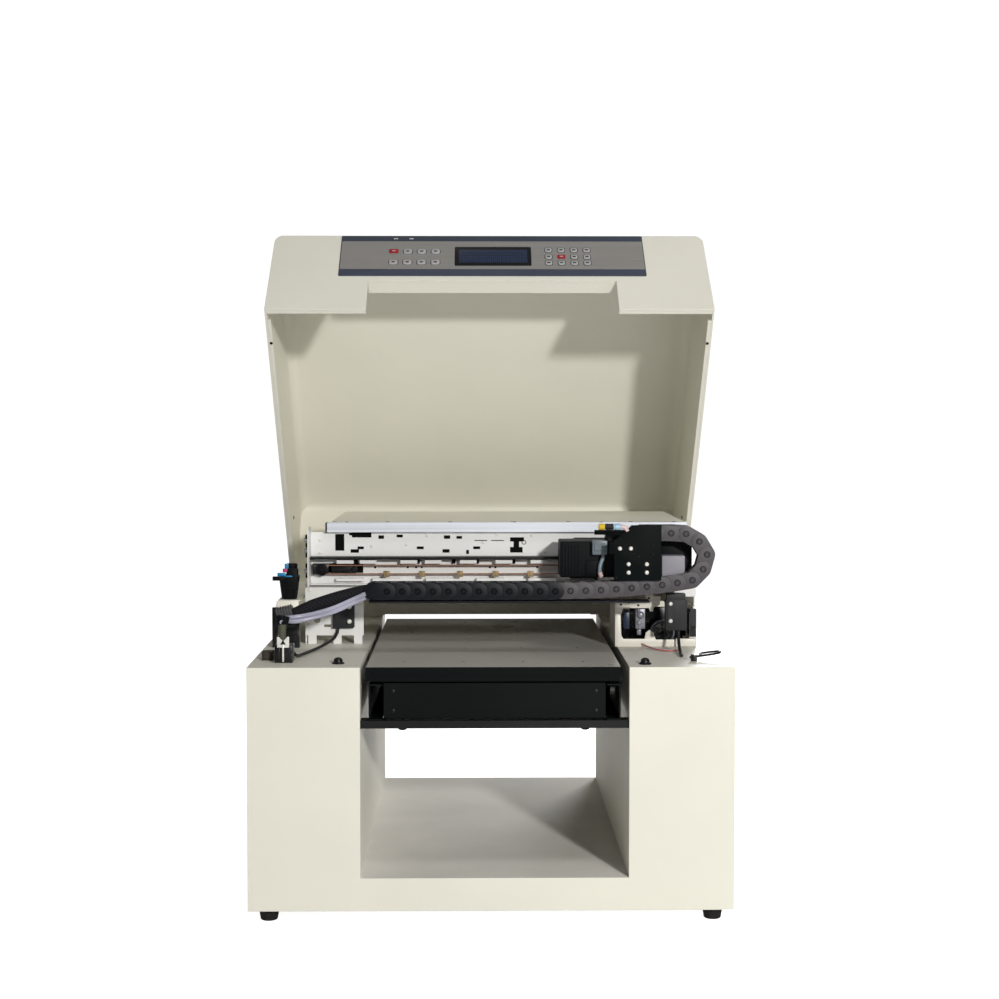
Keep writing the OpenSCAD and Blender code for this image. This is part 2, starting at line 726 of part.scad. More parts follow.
front_panel();
side_panels();
decks();
tunnel_walls();
tunnel_floor();
bottom_plate();
rear_panel();
feet();
rear_bridge();
power_inlet();
fan_frame();
cross_rails();
slide_rails();
main_frame();
top_rail();
guide_shelf();
timing_belt();
drive_motors();
rear_cover();
side_brackets();
side_cover();
waste_cup();
hose_connector();
hose_sleeve();
ink_tubes();
media_sensors();
sensor_cables();
capping_frame();
capping_base();
chain_fixed_run();
deck_knobs();
electronics();
hinge_blocks();
bed_belt();
power_switch();
fan_rotor();
idler_pulley();
drive_pulley();
carriage_plate();
carriage_body();
print_head();
uv_lamp();
ink_dampers();
chain_loop();
chain_upper_a();
chain_upper_b();
chain_upper_c();
bed_box();
slide_blocks();
table_top();
lift_screw();
bed_pulley();
lid_shell();
lid_trim();
control_panel();
power_key();
stop_key();
cap_slider();
pump_wheel();
wire_loop();
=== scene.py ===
"""Looks for the flatbed UV printer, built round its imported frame.

Every piece is in metres in the frame's own place. Places inside the file are
given in millimetres from the middle of the front face at floor level, through
spot(), because that is how the machine is dimensioned.
"""
import json
import math

import bmesh
import bpy
from bpy.props import FloatProperty, FloatVectorProperty, IntProperty, PointerProperty
from mathutils import Matrix, Vector


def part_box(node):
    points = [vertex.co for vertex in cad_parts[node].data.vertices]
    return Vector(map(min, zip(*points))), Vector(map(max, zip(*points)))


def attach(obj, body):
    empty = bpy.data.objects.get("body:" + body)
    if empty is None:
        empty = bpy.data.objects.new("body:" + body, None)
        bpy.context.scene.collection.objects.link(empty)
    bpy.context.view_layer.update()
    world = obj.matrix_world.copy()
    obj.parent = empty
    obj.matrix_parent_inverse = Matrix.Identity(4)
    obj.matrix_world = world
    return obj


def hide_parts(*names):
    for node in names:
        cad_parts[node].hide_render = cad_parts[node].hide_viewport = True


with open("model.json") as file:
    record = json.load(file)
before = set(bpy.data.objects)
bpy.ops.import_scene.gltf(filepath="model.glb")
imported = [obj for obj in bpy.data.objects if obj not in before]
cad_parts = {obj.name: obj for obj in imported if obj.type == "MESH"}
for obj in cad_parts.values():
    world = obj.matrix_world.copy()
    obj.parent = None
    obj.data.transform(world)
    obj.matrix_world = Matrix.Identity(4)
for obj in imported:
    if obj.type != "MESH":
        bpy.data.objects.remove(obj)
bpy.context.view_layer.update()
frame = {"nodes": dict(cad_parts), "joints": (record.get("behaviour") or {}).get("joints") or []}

bl_info = {
    "name": "Flatbed UV Printer",
    "version": (1, 0, 0),
    "blender": (4, 5, 0),
    "location": "View3D > Sidebar > UV Printer",
    "description": "Builds the finish and the fine pieces of a flatbed UV printer",
    "category": "Object",
}

MM = 0.001
FRONT_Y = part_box("front_panel")[0][1]
JOINTS = {joint["name"]: joint for joint in frame["joints"]}
LID_PIVOT = Vector(JOINTS["lid_hinge"]["pos_m"])
LID_TURN = Matrix.Rotation(-math.radians(JOINTS["lid_hinge"]["range_deg"][1]), 4, "X")
HINGE_Z = LID_PIVOT.z / MM
SHARP = math.radians(38)


# ---- places ----

def spot(x, y, z):
    """A place in metres, from millimetres off the middle of the front face at floor level."""
    return Vector((x * MM, FRONT_Y + y * MM, z * MM))


def lid_opened(mesh):
    """Swings a mesh from the closed place of the lid to the open place it rests in."""
    turn = Matrix.Translation(LID_PIVOT) @ LID_TURN @ Matrix.Translation(-LID_PIVOT)
    mesh.transform(turn)


# ---- settings ----

def colour_property(label, hint, default):
    """A colour that a user can change."""
    return FloatVectorProperty(name=label, description=hint, subtype="COLOR", size=3,
                               min=0.0, max=1.0, default=default)


def length_property(label, hint, default):
    """A length in metres that a user can change."""
    return FloatProperty(name=label, description=hint, default=default, unit="LENGTH", precision=4)


class PaintSettings(bpy.types.PropertyGroup):
    """Colours of the painted sheet metal."""
    cream: colour_property("Cream", "Powder coat of the base and the lid", (0.79, 0.775, 0.685))
    deck: colour_property("Deck", "Powder coat of the decks and the inner walls", (0.80, 0.775, 0.69))
    tunnel: colour_property("Tunnel floor", "Textured coat of the tunnel floor", (0.78, 0.755, 0.70))
    white: colour_property("White", "Paint of the print mechanism's frame", (0.80, 0.80, 0.79))
    black: colour_property("Black", "Paint of the bed and the carriage", (0.0030, 0.0046, 0.0048))
    # The table colour is lighter than the top's own dark grey: it holds a painted reflection.
    table: colour_property("Table", "Satin coat of the table top", (0.50, 0.49, 0.45))
    edge: length_property("Edge radius", "Radius that painted edges are rounded to", 0.0009)


class ChainSettings(bpy.types.PropertyGroup):
    """Sizes and colours of the drag chain."""
    pitch: length_property("Link pitch", "Length of one link of the drag chain", 0.021)
    height: length_property("Link height", "Height of one link of the drag chain", 0.024)
    # One plastic in two tones: painted light on the rolling links, painted shade on the resting links.
    rolling: colour_property("Rolling links", "Plastic of the rolling part", (0.068, 0.062, 0.070))
    resting: colour_property("Resting links", "Plastic of the resting part", (0.0045, 0.0055, 0.0085))


class PanelSettings(bpy.types.PropertyGroup):
    """Sizes and colours of the control panel."""
    navy: colour_property("Bands", "Dark bands of the printed film", (0.046, 0.056, 0.084))
    middle: colour_property("Middle", "Brushed middle of the printed film", (0.33, 0.318, 0.303))
    red: colour_property("Red keys", "Colour of the two red keys", (0.33, 0.015, 0.022))
    screen: colour_property("Screen", "Colour of the dark display", (0.012, 0.020, 0.050))
    key: length_property("Key size", "Width of a raised key", 0.0125)


class LinesSettings(bpy.types.PropertyGroup):
    """Sizes and colours of the tubes and cables."""
    tube: length_property("Tube diameter", "Outer diameter of an ink tube", 0.006)
    cable: length_property("Cable diameter", "Outer diameter of a sensor cable", 0.0044)
    lilac: colour_property("Tubes", "Tint of the clear ink tubes", (0.56, 0.56, 0.70))
    sides: IntProperty(name="Sides", description="Sides of a round tube", default=20, min=8, max=48)


class StageSettings(bpy.types.PropertyGroup):
    """Floor, lights and camera."""
    floor: colour_property("Floor", "Colour of the plain floor", (0.93, 0.93, 0.93))
    lens: FloatProperty(name="Lens", description="Focal length of the camera in millimetres",
                        default=63.14, min=20.0, max=200.0)


SETTINGS = {
    "printer_paint": PaintSettings,
    "printer_chain": ChainSettings,
    "printer_panel": PanelSettings,
    "printer_lines": LinesSettings,
    "printer_stage": StageSettings,
}


def setting(group):
    """One of the setting groups, by its short name."""
    return getattr(bpy.context.scene, "printer_" + group)


# ---- shader node groups ----

def new_group(name, inputs, outputs):
    """A node group with named float, colour or vector sockets, and its end nodes."""
    tree = bpy.data.node_groups.new(name, "ShaderNodeTree")
    for label, default in inputs.items():
        socket = tree.interface.new_socket(label, in_out="INPUT", socket_type="NodeSocketFloat")
        socket.default_value = default
    for label, kind in outputs.items():
        tree.interface.new_socket(label, in_out="OUTPUT", socket_type="NodeSocket" + kind)
    return tree, tree.nodes.new("NodeGroupInput"), tree.nodes.new("NodeGroupOutput")


def wire(tree, source, target):
    """Links an output socket to an input socket."""
    tree.links.new(source, target)


def noise_in(tree, coordinates, scale_socket, detail):
    """A noise texture on given coordinates, at a linked scale."""
    noise = tree.nodes.new("ShaderNodeTexNoise")
    noise.inputs["Detail"].default_value = detail
    wire(tree, coordinates, noise.inputs["Vector"])
    if scale_socket is not None:
        wire(tree, scale_socket, noise.inputs["Scale"])
    return noise


def grain_group():
    """Fine grain of a coat or a moulding, with broad uneven patches."""
    tree, start, end = new_group(
        "Coat grain", {"Grain scale": 900.0, "Patch scale": 6.0}, {"Grain": "Float", "Patch": "Float"})
    place = tree.nodes.new("ShaderNodeTexCoord").outputs["Object"]
    fine = noise_in(tree, place, start.outputs["Grain scale"], 3.0)
    broad = noise_in(tree, place, start.outputs["Patch scale"], 4.0)
    wire(tree, fine.outputs["Fac"], end.inputs["Grain"])
    wire(tree, broad.outputs["Fac"], end.inputs["Patch"])
    return tree


def edge_group():
    """Finds the outer edges of a piece, where a coat wears thin and a highlight is painted on."""
    tree, start, end = new_group("Edge wear", {"Radius": 0.001, "Spread": 0.12}, {"Mask": "Float"})
    bevel = tree.nodes.new("ShaderNodeBevel")
    bevel.samples = 4
    wire(tree, start.outputs["Radius"], bevel.inputs["Radius"])
    facing = tree.nodes.new("ShaderNodeNewGeometry")
    dot = tree.nodes.new("ShaderNodeVectorMath")
    dot.operation = "DOT_PRODUCT"
    wire(tree, bevel.outputs["Normal"], dot.inputs[0])
    wire(tree, facing.outputs["True Normal"], dot.inputs[1])
    spread = tree.nodes.new("ShaderNodeMath")
    spread.operation = "SUBTRACT"
    spread.inputs[0].default_value = 1.0
    wire(tree, start.outputs["Spread"], spread.inputs[1])
    ramp = tree.nodes.new("ShaderNodeMapRange")
    ramp.inputs["From Max"].default_value = 1.0
    ramp.inputs["To Min"].default_value = 1.0
    ramp.inputs["To Max"].default_value = 0.0
    wire(tree, dot.outputs["Value"], ramp.inputs["Value"])
    wire(tree, spread.outputs["Value"], ramp.inputs["From Min"])
    wire(tree, ramp.outputs["Result"], end.inputs["Mask"])
    return tree


def brush_group():
    """Long fine scratches that run along X, as brushing leaves them."""
    tree, start, end = new_group("Brushed lines", {"Density": 900.0, "Length": 6.0}, {"Lines": "Float"})
    place = tree.nodes.new("ShaderNodeTexCoord").outputs["Object"]
    stretch = tree.nodes.new("ShaderNodeCombineXYZ")
    wire(tree, start.outputs["Length"], stretch.inputs["X"])
    wire(tree, start.outputs["Density"], stretch.inputs["Y"])
    wire(tree, start.outputs["Density"], stretch.inputs["Z"])
    scaled = tree.nodes.new("ShaderNodeVectorMath")
    scaled.operation = "MULTIPLY"
    wire(tree, place, scaled.inputs[0])
    wire(tree, stretch.outputs["Vector"], scaled.inputs[1])
    lines = noise_in(tree, scaled.outputs["Vector"], None, 2.0)
    lines.inputs["Scale"].default_value = 1.0
    wire(tree, lines.outputs["Fac"], end.inputs["Lines"])
    return tree


def dust_group():
    """Thin dust that settles on faces that look up."""
    tree, start, end = new_group("Settled dust", {"Scale": 30.0}, {"Dust": "Float"})
    facing = tree.nodes.new("ShaderNodeNewGeometry")
    parts = tree.nodes.new("ShaderNodeSeparateXYZ")
    wire(tree, facing.outputs["Normal"], parts.inputs["Vector"])
    place = tree.nodes.new("ShaderNodeTexCoord").outputs["Object"]
    cloud = noise_in(tree, place, start.outputs["Scale"], 6.0)
    upward = tree.nodes.new("ShaderNodeMath")
    upward.operation = "MULTIPLY"
    upward.use_clamp = True
    wire(tree, parts.outputs["Z"], upward.inputs[0])
    wire(tree, cloud.outputs["Fac"], upward.inputs[1])
    wire(tree, upward.outputs["Value"], end.inputs["Dust"])
    return tree


GROUPS = {}
GROUP_MAKERS = {"grain": grain_group, "edge": edge_group, "brush": brush_group, "dust": dust_group}


class Finish:
    """A material's node tree, with its Principled shader and its shared effects at hand."""

    def __init__(self, name, colour, roughness, metallic=0.0, coat=0.0):
        self.material = bpy.data.materials.new(name)
        self.material.use_nodes = True
        self.tree = self.material.node_tree
        self.shader = self.tree.nodes["Principled BSDF"]
        self.colour = (*colour, 1.0)
        self.set("Base Color", self.colour)
        self.set("Roughness", roughness)
        self.set("Metallic", metallic)
        self.set("Coat Weight", coat)
        self.roughness = roughness

    def set(self, socket, value):
        """Sets a constant on the shader's own socket."""
        self.shader.inputs[socket].default_value = value
        return self

    def node(self, kind, **inputs):
        """A new node with its constants set."""
        node = self.tree.nodes.new(kind)
        for label, value in inputs.items():
            node.inputs[label.replace("_", " ")].default_value = value
        return node

    def shared(self, which, **inputs):
        """A shared effect group, with this material's own values."""
        if which not in GROUPS:
            GROUPS[which] = GROUP_MAKERS[which]()
        node = self.tree.nodes.new("ShaderNodeGroup")
        node.node_tree = GROUPS[which]
        for label, value in inputs.items():
            node.inputs[label.replace("_", " ")].default_value = value
        return node

    def place(self):
        """The object coordinates."""
        return self.node("ShaderNodeTexCoord").outputs["Object"]

    def join(self, source, target):
        """Links two sockets."""
        self.tree.links.new(source, target)

    def remap(self, source, low, high, start=0.0, stop=1.0):
        """Maps a mask from start..stop to low..high."""
        node = self.node("ShaderNodeMapRange", From_Min=start, From_Max=stop, To_Min=low, To_Max=high)
        self.join(source, node.inputs["Value"])
        return node.outputs["Result"]

    def blend(self, mask, first, second):
        """Mixes two colours or colour sockets by a mask."""
        node = self.node("ShaderNodeMix")
        node.data_type = "RGBA"
        self.join(mask, node.inputs["Factor"])
        for socket, value in ((node.inputs[6], first), (node.inputs[7], second)):
            if isinstance(value, bpy.types.NodeSocket):
                self.join(value, socket)
            else:
                socket.default_value = value
        return node.outputs[2]

    def math(self, operation, first, second):
        """One sum on two values or sockets."""
        node = self.node("ShaderNodeMath")
        node.operation = operation
        for socket, value in zip(node.inputs, (first, second)):
            if isinstance(value, bpy.types.NodeSocket):
                self.join(value, socket)
            else:
                socket.default_value = value
        return node.outputs["Value"]

    def paint(self, source):
        """Takes the base colour from a socket."""
        self.join(source, self.shader.inputs["Base Color"])

    def relief(self, height, depth, soft=0.0):
        """Bumps the surface by a height, over edges rounded to a soft radius."""
        bump = self.node("ShaderNodeBump", Strength=1.0, Distance=depth)
        self.join(height, bump.inputs["Height"])
        if soft:
            bevel = self.node("ShaderNodeBevel", Radius=soft)
            bevel.samples = 4
            self.join(bevel.outputs["Normal"], bump.inputs["Normal"])
        self.join(bump.outputs["Normal"], self.shader.inputs["Normal"])


def shade(colour, factor):
    """A colour made darker or lighter, as four channels."""
    return tuple(min(1.0, channel * factor) for channel in colour[:3]) + (1.0,)


def coated(name, colour, roughness, grain, depth, patch, edge, soft, dust=0.0, metallic=0.0, coat=0.0,
           specular=None):
    """Paint or plastic with grain, patches, settled dust, and edges lighter from wear and a painted
    highlight.
    """
    finish = Finish(name, colour, roughness, metallic, coat)
    if specular is not None:
        finish.set("Specular IOR Level", specular)
    grain_node = finish.shared("grain", Grain_scale=grain, Patch_scale=7.0)
    patches = finish.remap(grain_node.outputs["Patch"], 0.0, 1.0, 0.3, 0.7)
    body = finish.blend(patches, shade(colour, 1.0 - patch), shade(colour, 1.0 + patch))
    edges = finish.shared("edge", Radius=max(soft, 0.0006))
    # The edges are painted lighter: partly worn paint, partly a painted highlight along them.
    wear_and_edge_highlight = finish.math("MULTIPLY", edges.outputs["Mask"], 0.6)
    body = finish.blend(wear_and_edge_highlight, body, shade(colour, edge))
    if dust:
        settled = finish.shared("dust", Scale=35.0)
        veil = finish.math("MULTIPLY", settled.outputs["Dust"], dust)
        body = finish.blend(veil, body, (0.62, 0.60, 0.56, 1.0))
    finish.paint(body)
    rough = finish.remap(grain_node.outputs["Patch"], roughness - 0.05, roughness + 0.07, 0.3, 0.7)
    finish.join(rough, finish.shader.inputs["Roughness"])
    finish.relief(grain_node.outputs["Grain"], depth, soft)
    return finish.material


def brushed(name, colour, roughness=0.32, density=900.0, length=8.0, soft=0.0006, metallic=1.0):
    """Bright metal with fine lines along X."""
    finish = Finish(name, colour, roughness, metallic)
    lines = finish.shared("brush", Density=density, Length=length)
    streak = finish.remap(lines.outputs["Lines"], 0.0, 1.0, 0.25, 0.75)
    finish.paint(finish.blend(streak, shade(colour, 0.82), shade(colour, 1.1)))
    rough = finish.remap(lines.outputs["Lines"], roughness - 0.08, roughness + 0.12, 0.2, 0.8)
    finish.join(rough, finish.shader.inputs["Roughness"])
    finish.relief(lines.outputs["Lines"], 0.00002, soft)
    return finish.material


def striped(name, dark, light, pitch, axis):
    """Ribs or teeth that repeat along one axis, such as on a belt."""
    finish = Finish(name, dark, 0.55)
    wave = finish.node("ShaderNodeTexWave", Scale=1.0 / (pitch * 2 * math.pi) * 2.0, Distortion=0.0)
    wave.bands_direction = axis
    finish.join(finish.place(), wave.inputs["Vector"])
    # The colour follows the ribs: the light colour is a painted highlight on them, the dark one painted
    # shade in the grooves.
    finish.paint(finish.blend(wave.outputs["Fac"], shade(dark, 1.0), shade(light, 1.0)))
    finish.relief(wave.outputs["Fac"], 0.0003)
    return finish.material


def braided(name, colour, pitch):
    """Woven sleeve: two sets of ribs that cross on the piece's own UV map."""
    finish = Finish(name, colour, 0.7).set("Specular IOR Level", 0.15)
    uv = finish.node("ShaderNodeTexCoord").outputs["UV"]
    ribs = []
    for turn in (math.radians(45), math.radians(-45)):
        mapping = finish.node("ShaderNodeMapping", Rotation=(0.0, 0.0, turn), Scale=(1.0, 1.0, 1.0))
        finish.join(uv, mapping.inputs["Vector"])
        wave = finish.node("ShaderNodeTexWave", Scale=1.0 / pitch, Distortion=0.4)
        finish.join(mapping.outputs["Vector"], wave.inputs["Vector"])
        ribs.append(wave.outputs["Fac"])
    height = finish.math("MAXIMUM", ribs[0], ribs[1])
    # The colour follows the ribs' height: a painted highlight on the ribs and painted shade in the hollows.
    finish.paint(finish.blend(height, shade(colour, 0.45), shade(colour, 2.4)))
    finish.relief(height, 0.0004)
    return finish.material


def clear_tube(name, colour):
    """Half-clear plastic tube, with ink showing dimly through it."""
    finish = Finish(name, colour, 0.22)
    finish.set("Transmission Weight", 0.35)
    finish.set("IOR", 1.45)
    grain = finish.shared("grain", Grain_scale=120.0, Patch_scale=25.0)
    cloudy = finish.remap(grain.outputs["Patch"], 0.0, 1.0, 0.35, 0.65)
    finish.paint(finish.blend(cloudy, shade(colour, 0.85), shade(colour, 1.15)))
    finish.relief(grain.outputs["Grain"], 0.00003)
    return finish.material


def display_film(name, colour):
    """Dark liquid-crystal display with a faint grid of cells under a glossy sheet."""
    finish = Finish(name, colour, 0.08, coat=0.6)
    cells = []
    for axis in ("X", "Z"):
        wave = finish.node("ShaderNodeTexWave", Scale=105.0, Distortion=0.0)
        wave.bands_direction = axis
        finish.join(finish.place(), wave.inputs["Vector"])
        cells.append(wave.outputs["Fac"])
    grid = finish.math("MULTIPLY", cells[0], cells[1])
    finish.paint(finish.blend(grid, shade(colour, 0.7), shade(colour, 2.2)))
    finish.relief(grid, 0.00001)
    return finish.material


def table_coat(name, top, side, soft):
    """Satin grey top lightened as a painted reflection; black enamel sides with painted edge highlights."""
    finish = Finish(name, top, 0.3)
    facing = finish.node("ShaderNodeNewGeometry")
    parts = finish.node("ShaderNodeSeparateXYZ")
    finish.join(facing.outputs["True Normal"], parts.inputs["Vector"])
    upward = finish.remap(parts.outputs["Z"], 0.0, 1.0, 0.55, 0.6)
    grain = finish.shared("grain", Grain_scale=1200.0, Patch_scale=5.0)
    cloud = finish.remap(grain.outputs["Patch"], 0.0, 1.0, 0.3, 0.7)
    # The top's grey is lighter than the table's own dark grey: a painted reflection of the bright
    # surroundings.
    face = finish.blend(cloud, shade(top, 0.92), shade(top, 1.08))
    edges = finish.shared("edge", Radius=0.0012)
    # The black sides are painted five times lighter along their edges: a painted highlight.
    rim = finish.math("MULTIPLY", edges.outputs["Mask"], 0.35)
    sides_with_painted_glint = finish.blend(rim, shade(side, 1.0), shade(side, 5.0))
    finish.paint(finish.blend(upward, sides_with_painted_glint, face))
    finish.join(finish.remap(cloud, 0.26, 0.38), finish.shader.inputs["Roughness"])
    finish.join(finish.remap(upward, 0.08, 0.5), finish.shader.inputs["Specular IOR Level"])
    finish.relief(grain.outputs["Grain"], 0.00002, soft)
    return finish.material


# The painted and moulded finishes. A row holds: the material's name, the colour or the setting that
# holds it, the roughness, the scale and the depth of the grain, the soft edge as a share of the
# paint's, the strength of the patches, how much lighter the edges get from wear and a painted
# highlight, and what else coated() takes.
COATS = {
    "cream": ("cream_powder_coat", "paint.cream", 0.42, 650.0, 3e-5, 1.6, 0.02, 1.06),
    "deck": ("deck_powder_coat", "paint.deck", 0.46, 650.0, 3e-5, 1.0, 0.03, 1.08),
    "lid": ("lid_powder_coat", "paint.cream", 0.44, 600.0, 3e-5, 1.4, 0.02, 1.05),
    "tunnel": ("tunnel_texture_coat", "paint.tunnel", 0.75, 420.0, 0.00022, 1.0, 0.07, 1.1),
    "white": ("frame_white_paint", "paint.white", 0.38, 800.0, 2e-5, 0.6, 0.025, 1.05),
    "black": ("bed_black_paint", "paint.black", 0.4, 900.0, 3e-5, 1.0, 0.2, 1.7,
              {"specular": 0.1, "dust": 0.003}),
    "plate": ("carriage_black_paint", "paint.black", 0.55, 900.0, 3e-5, 1.0, 0.2, 1.6,
              {"specular": 0.06}),
    # Flat black for painted shade: behind the frame's cut-outs and in the chain's pin grooves.
    "liner": ("black_liner", (0.004, 0.004, 0.004), 0.7, 500.0, 3e-5, 0.0, 0.2, 1.0, {"specular": 0.05}),
    "clamp": ("clamp_dark_grey", (0.055, 0.056, 0.060), 0.5, 700.0, 5e-5, 0.5, 0.15, 2.2,
              {"specular": 0.35}),
    "slate_blue": ("blue_black_block", (0.020, 0.030, 0.060), 0.35, 700.0, 3e-5, 0.5, 0.2, 2.4,
                   {"specular": 0.3}),
    # Lighter ring on the pump wheel's edge: a painted highlight of its rim.
    "steel_blue": ("wheel_blue_rim", (0.22, 0.26, 0.36), 0.25, 700.0, 2e-5, 0.4, 0.1, 1.3,
                   {"metallic": 0.5}),
    "screw_bright": ("screw_bright_zinc", (0.80, 0.79, 0.76), 0.3, 900.0, 2e-5, 0.0, 0.04, 1.1,
                     {"metallic": 0.25, "soft": 0.0003}),
    "cell": ("display_cell", (0.020, 0.032, 0.065), 0.2, 900.0, 1e-5, 0.0, 0.1, 1.0),
    "dark_steel": ("oiled_dark_steel", (0.020, 0.021, 0.021), 0.38, 900.0, 3e-5, 0.6, 0.2, 2.4,
                   {"specular": 0.3, "metallic": 0.8}),
    "rubber": ("foot_rubber", (0.012, 0.011, 0.011), 0.72, 500.0, 8e-5, 1.0, 0.2, 1.9, {"specular": 0.3}),
    "frame_cream": ("sheet_cream_paint", (0.80, 0.77, 0.69), 0.4, 700.0, 3e-5, 0.6, 0.03, 1.06),
    "plastic": ("black_moulding", (0.0050, 0.0056, 0.0068), 0.5, 1000.0, 5e-5, 0.6, 0.15, 1.7,
                {"specular": 0.1}),
    "gloss": ("black_gloss_moulding", (0.0042, 0.0048, 0.006), 0.3, 700.0, 1e-5, 0.6, 0.15, 2.2,
              {"specular": 0.3, "coat": 0.3}),
    "olive": ("olive_hose", (0.075, 0.080, 0.052), 0.6, 500.0, 8e-5, 1.0, 0.2, 1.5),
    "brown": ("brown_block", (0.040, 0.030, 0.020), 0.55, 500.0, 8e-5, 1.0, 0.25, 1.6),
    # One chain plastic in two tones: painted light on the rolling links, painted shade on the resting ones.
    "chain": ("chain_rolling_plastic", "chain.rolling", 0.5, 900.0, 5e-5, 0.0, 0.12, 1.7,
              {"specular": 0.35, "soft": 0.0004}),
    "chain_dark": ("chain_resting_plastic", "chain.resting", 0.46, 900.0, 5e-5, 0.0, 0.12, 1.8,
                   {"specular": 0.2, "soft": 0.0004}),
    "charcoal": ("charcoal_moulding", (0.020, 0.021, 0.024), 0.5, 900.0, 5e-5, 0.7, 0.12, 1.7,
                 {"specular": 0.3}),
    "lamp": ("lamp_grey_cover", (0.235, 0.225, 0.262), 0.5, 700.0, 5e-5, 1.0, 0.16, 1.25),
    "fitting": ("grey_fitting", (0.27, 0.275, 0.32), 0.36, 700.0, 3e-5, 0.5, 0.2, 1.4, {"metallic": 0.3}),
    "yellow": ("yellow_cap", (0.72, 0.47, 0.01), 0.35, 600.0, 2e-5, 0.6, 0.08, 1.2),
    "blue": ("light_blue_cap", (0.34, 0.53, 0.68), 0.35, 600.0, 2e-5, 0.6, 0.08, 1.2),
    "cyan": ("cyan_ink_stain", (0.02, 0.22, 0.46), 0.3, 300.0, 0.0001, 0.6, 0.4, 1.3),
    "magenta": ("magenta_ink_stain", (0.42, 0.03, 0.15), 0.3, 300.0, 0.0001, 0.6, 0.3, 1.2),
    "pink": ("pink_tube_end", (0.68, 0.52, 0.50), 0.45, 500.0, 3e-5, 0.5, 0.1, 1.1),
    "slate": ("slate_box", (0.115, 0.145, 0.165), 0.4, 500.0, 3e-5, 0.7, 0.3, 1.5),
    "screw": ("screw_cream", (0.74, 0.72, 0.66), 0.35, 900.0, 2e-5, 0.0, 0.05, 1.1, {"soft": 0.0003}),
    "red": ("red_key", "panel.red", 0.35, 700.0, 2e-5, 0.5, 0.08, 1.3),
    "navy": ("film_navy_band", "panel.navy", 0.33, 900.0, 1e-5, 0.4, 0.12, 1.2),
    "key": ("film_key", (0.40, 0.40, 0.40), 0.4, 900.0, 1e-5, 0.5, 0.06, 1.35),
    "key_ring": ("film_key_ring", (0.055, 0.058, 0.068), 0.4, 900.0, 1e-5, 0.5, 0.06, 1.2),
    "mark": ("film_mark", (0.66, 0.66, 0.66), 0.4, 900.0, 1e-5, 0.5, 0.03, 1.1),
    "board": ("board_green", (0.012, 0.085, 0.035), 0.3, 300.0, 4e-5, 0.4, 0.2, 1.4),
    "cable": ("cable_jacket", (0.010, 0.010, 0.012), 0.42, 400.0, 4e-5, 0.0, 0.2, 1.4,
              {"specular": 0.35}),
    "red_wire": ("red_wire", (0.55, 0.06, 0.07), 0.4, 400.0, 2e-5, 0.0, 0.1, 1.2),
    "white_wire": ("white_wire", (0.75, 0.74, 0.72), 0.4, 400.0, 2e-5, 0.0, 0.1, 1.1),
    "lamp_tube": ("slate_lamp_tube", (0.20, 0.25, 0.30), 0.35, 400.0, 3e-5, 0.0, 0.2, 1.3),
    "floor": ("studio_floor", "stage.floor", 0.7, 300.0, 1e-5, 0.0, 0.004, 1.0),
}


def coat_of(short_name):
    """The material of a row of COATS."""
    name, colour, roughness, grain, depth, share, patch, edge, *rest = COATS[short_name]
    if isinstance(colour, str):
        group, field = colour.split(".")
        colour = getattr(setting(group), field)
    others = {"soft": setting("paint").edge * share, **(rest[0] if rest else {})}
    return coated(name, colour, roughness, grain, depth, patch, edge, **others)


def other_makers():
    """How the finishes that are not plain coats are made."""
    paint, panel = setting("paint"), setting("panel")
    soft = paint.edge
    return {
        "table": lambda: table_coat("table_satin_coat", paint.table, paint.black, soft),
        "rail": lambda: brushed("rail_anodised", (0.72, 0.76, 0.83), 0.36, 1100.0, 3.0, soft, 0.35),
        "steel": lambda: brushed("machined_steel", (0.56, 0.56, 0.57), 0.3),
        "brass": lambda: brushed("clip_brass", (0.40, 0.30, 0.17), 0.38),
        "film": lambda: brushed("film_brushed_middle", panel.middle, 0.42, 1300.0, 5.0, soft * 0.4, 0.25),
        "screen": lambda: display_film("display_dark", panel.screen),
        "belt": lambda: striped("belt_copper_brown", (0.22, 0.085, 0.045), (0.42, 0.20, 0.12), 0.002, "X"),
        "bed_belt": lambda: striped("bed_belt_black", (0.012, 0.012, 0.012), (0.05, 0.05, 0.05), 0.003, "Y"),
        "sleeve": lambda: braided("braided_sleeve", (0.006, 0.006, 0.008), 0.012),
        "tube": lambda: clear_tube("lilac_clear_tube", setting("lines").lilac),
    }


MATERIALS = {}


def material(name):
    """A material by its short name, made on first use."""
    if name not in MATERIALS:
        MATERIALS[name] = coat_of(name) if name in COATS else other_makers()[name]()
    return MATERIALS[name]


# ---- shapes ----

TURN = {
    "X": Matrix.Rotation(math.pi / 2, 4, "Y"),
    "Y": Matrix.Rotation(-math.pi / 2, 4, "X"),
    "Z": Matrix.Identity(4),
}


def made_since(mesh, before):
    """The vertices that a shape has added."""
    return [vert for vert in mesh.verts if vert not in before]


def round_rims(mesh, verts, bevel, segments=2, caps_only=False):
    """Bevels the edges of a shape, or only those round its flat end faces."""
    edges = {edge for vert in verts for edge in vert.link_edges}
    if caps_only:
        edges = {edge for edge in edges if any(len(face.verts) > 4 for face in edge.link_faces)}
    bmesh.ops.bevel(mesh, geom=list(edges), offset=bevel * MM, affect="EDGES",
                    segments=segments, profile=0.5, material=-1)


def add_box(mesh, low, high, bevel=0.0, segments=2):
    """A block between two opposite corners."""
    before = set(mesh.verts)
    low, high = spot(*low), spot(*high)
    made = bmesh.ops.create_cube(mesh, size=1.0)["verts"]
    bmesh.ops.scale(mesh, vec=high - low, verts=made)
    bmesh.ops.translate(mesh, vec=(low + high) / 2, verts=made)
    if bevel:
        round_rims(mesh, made, bevel, segments)
    return made_since(mesh, before)


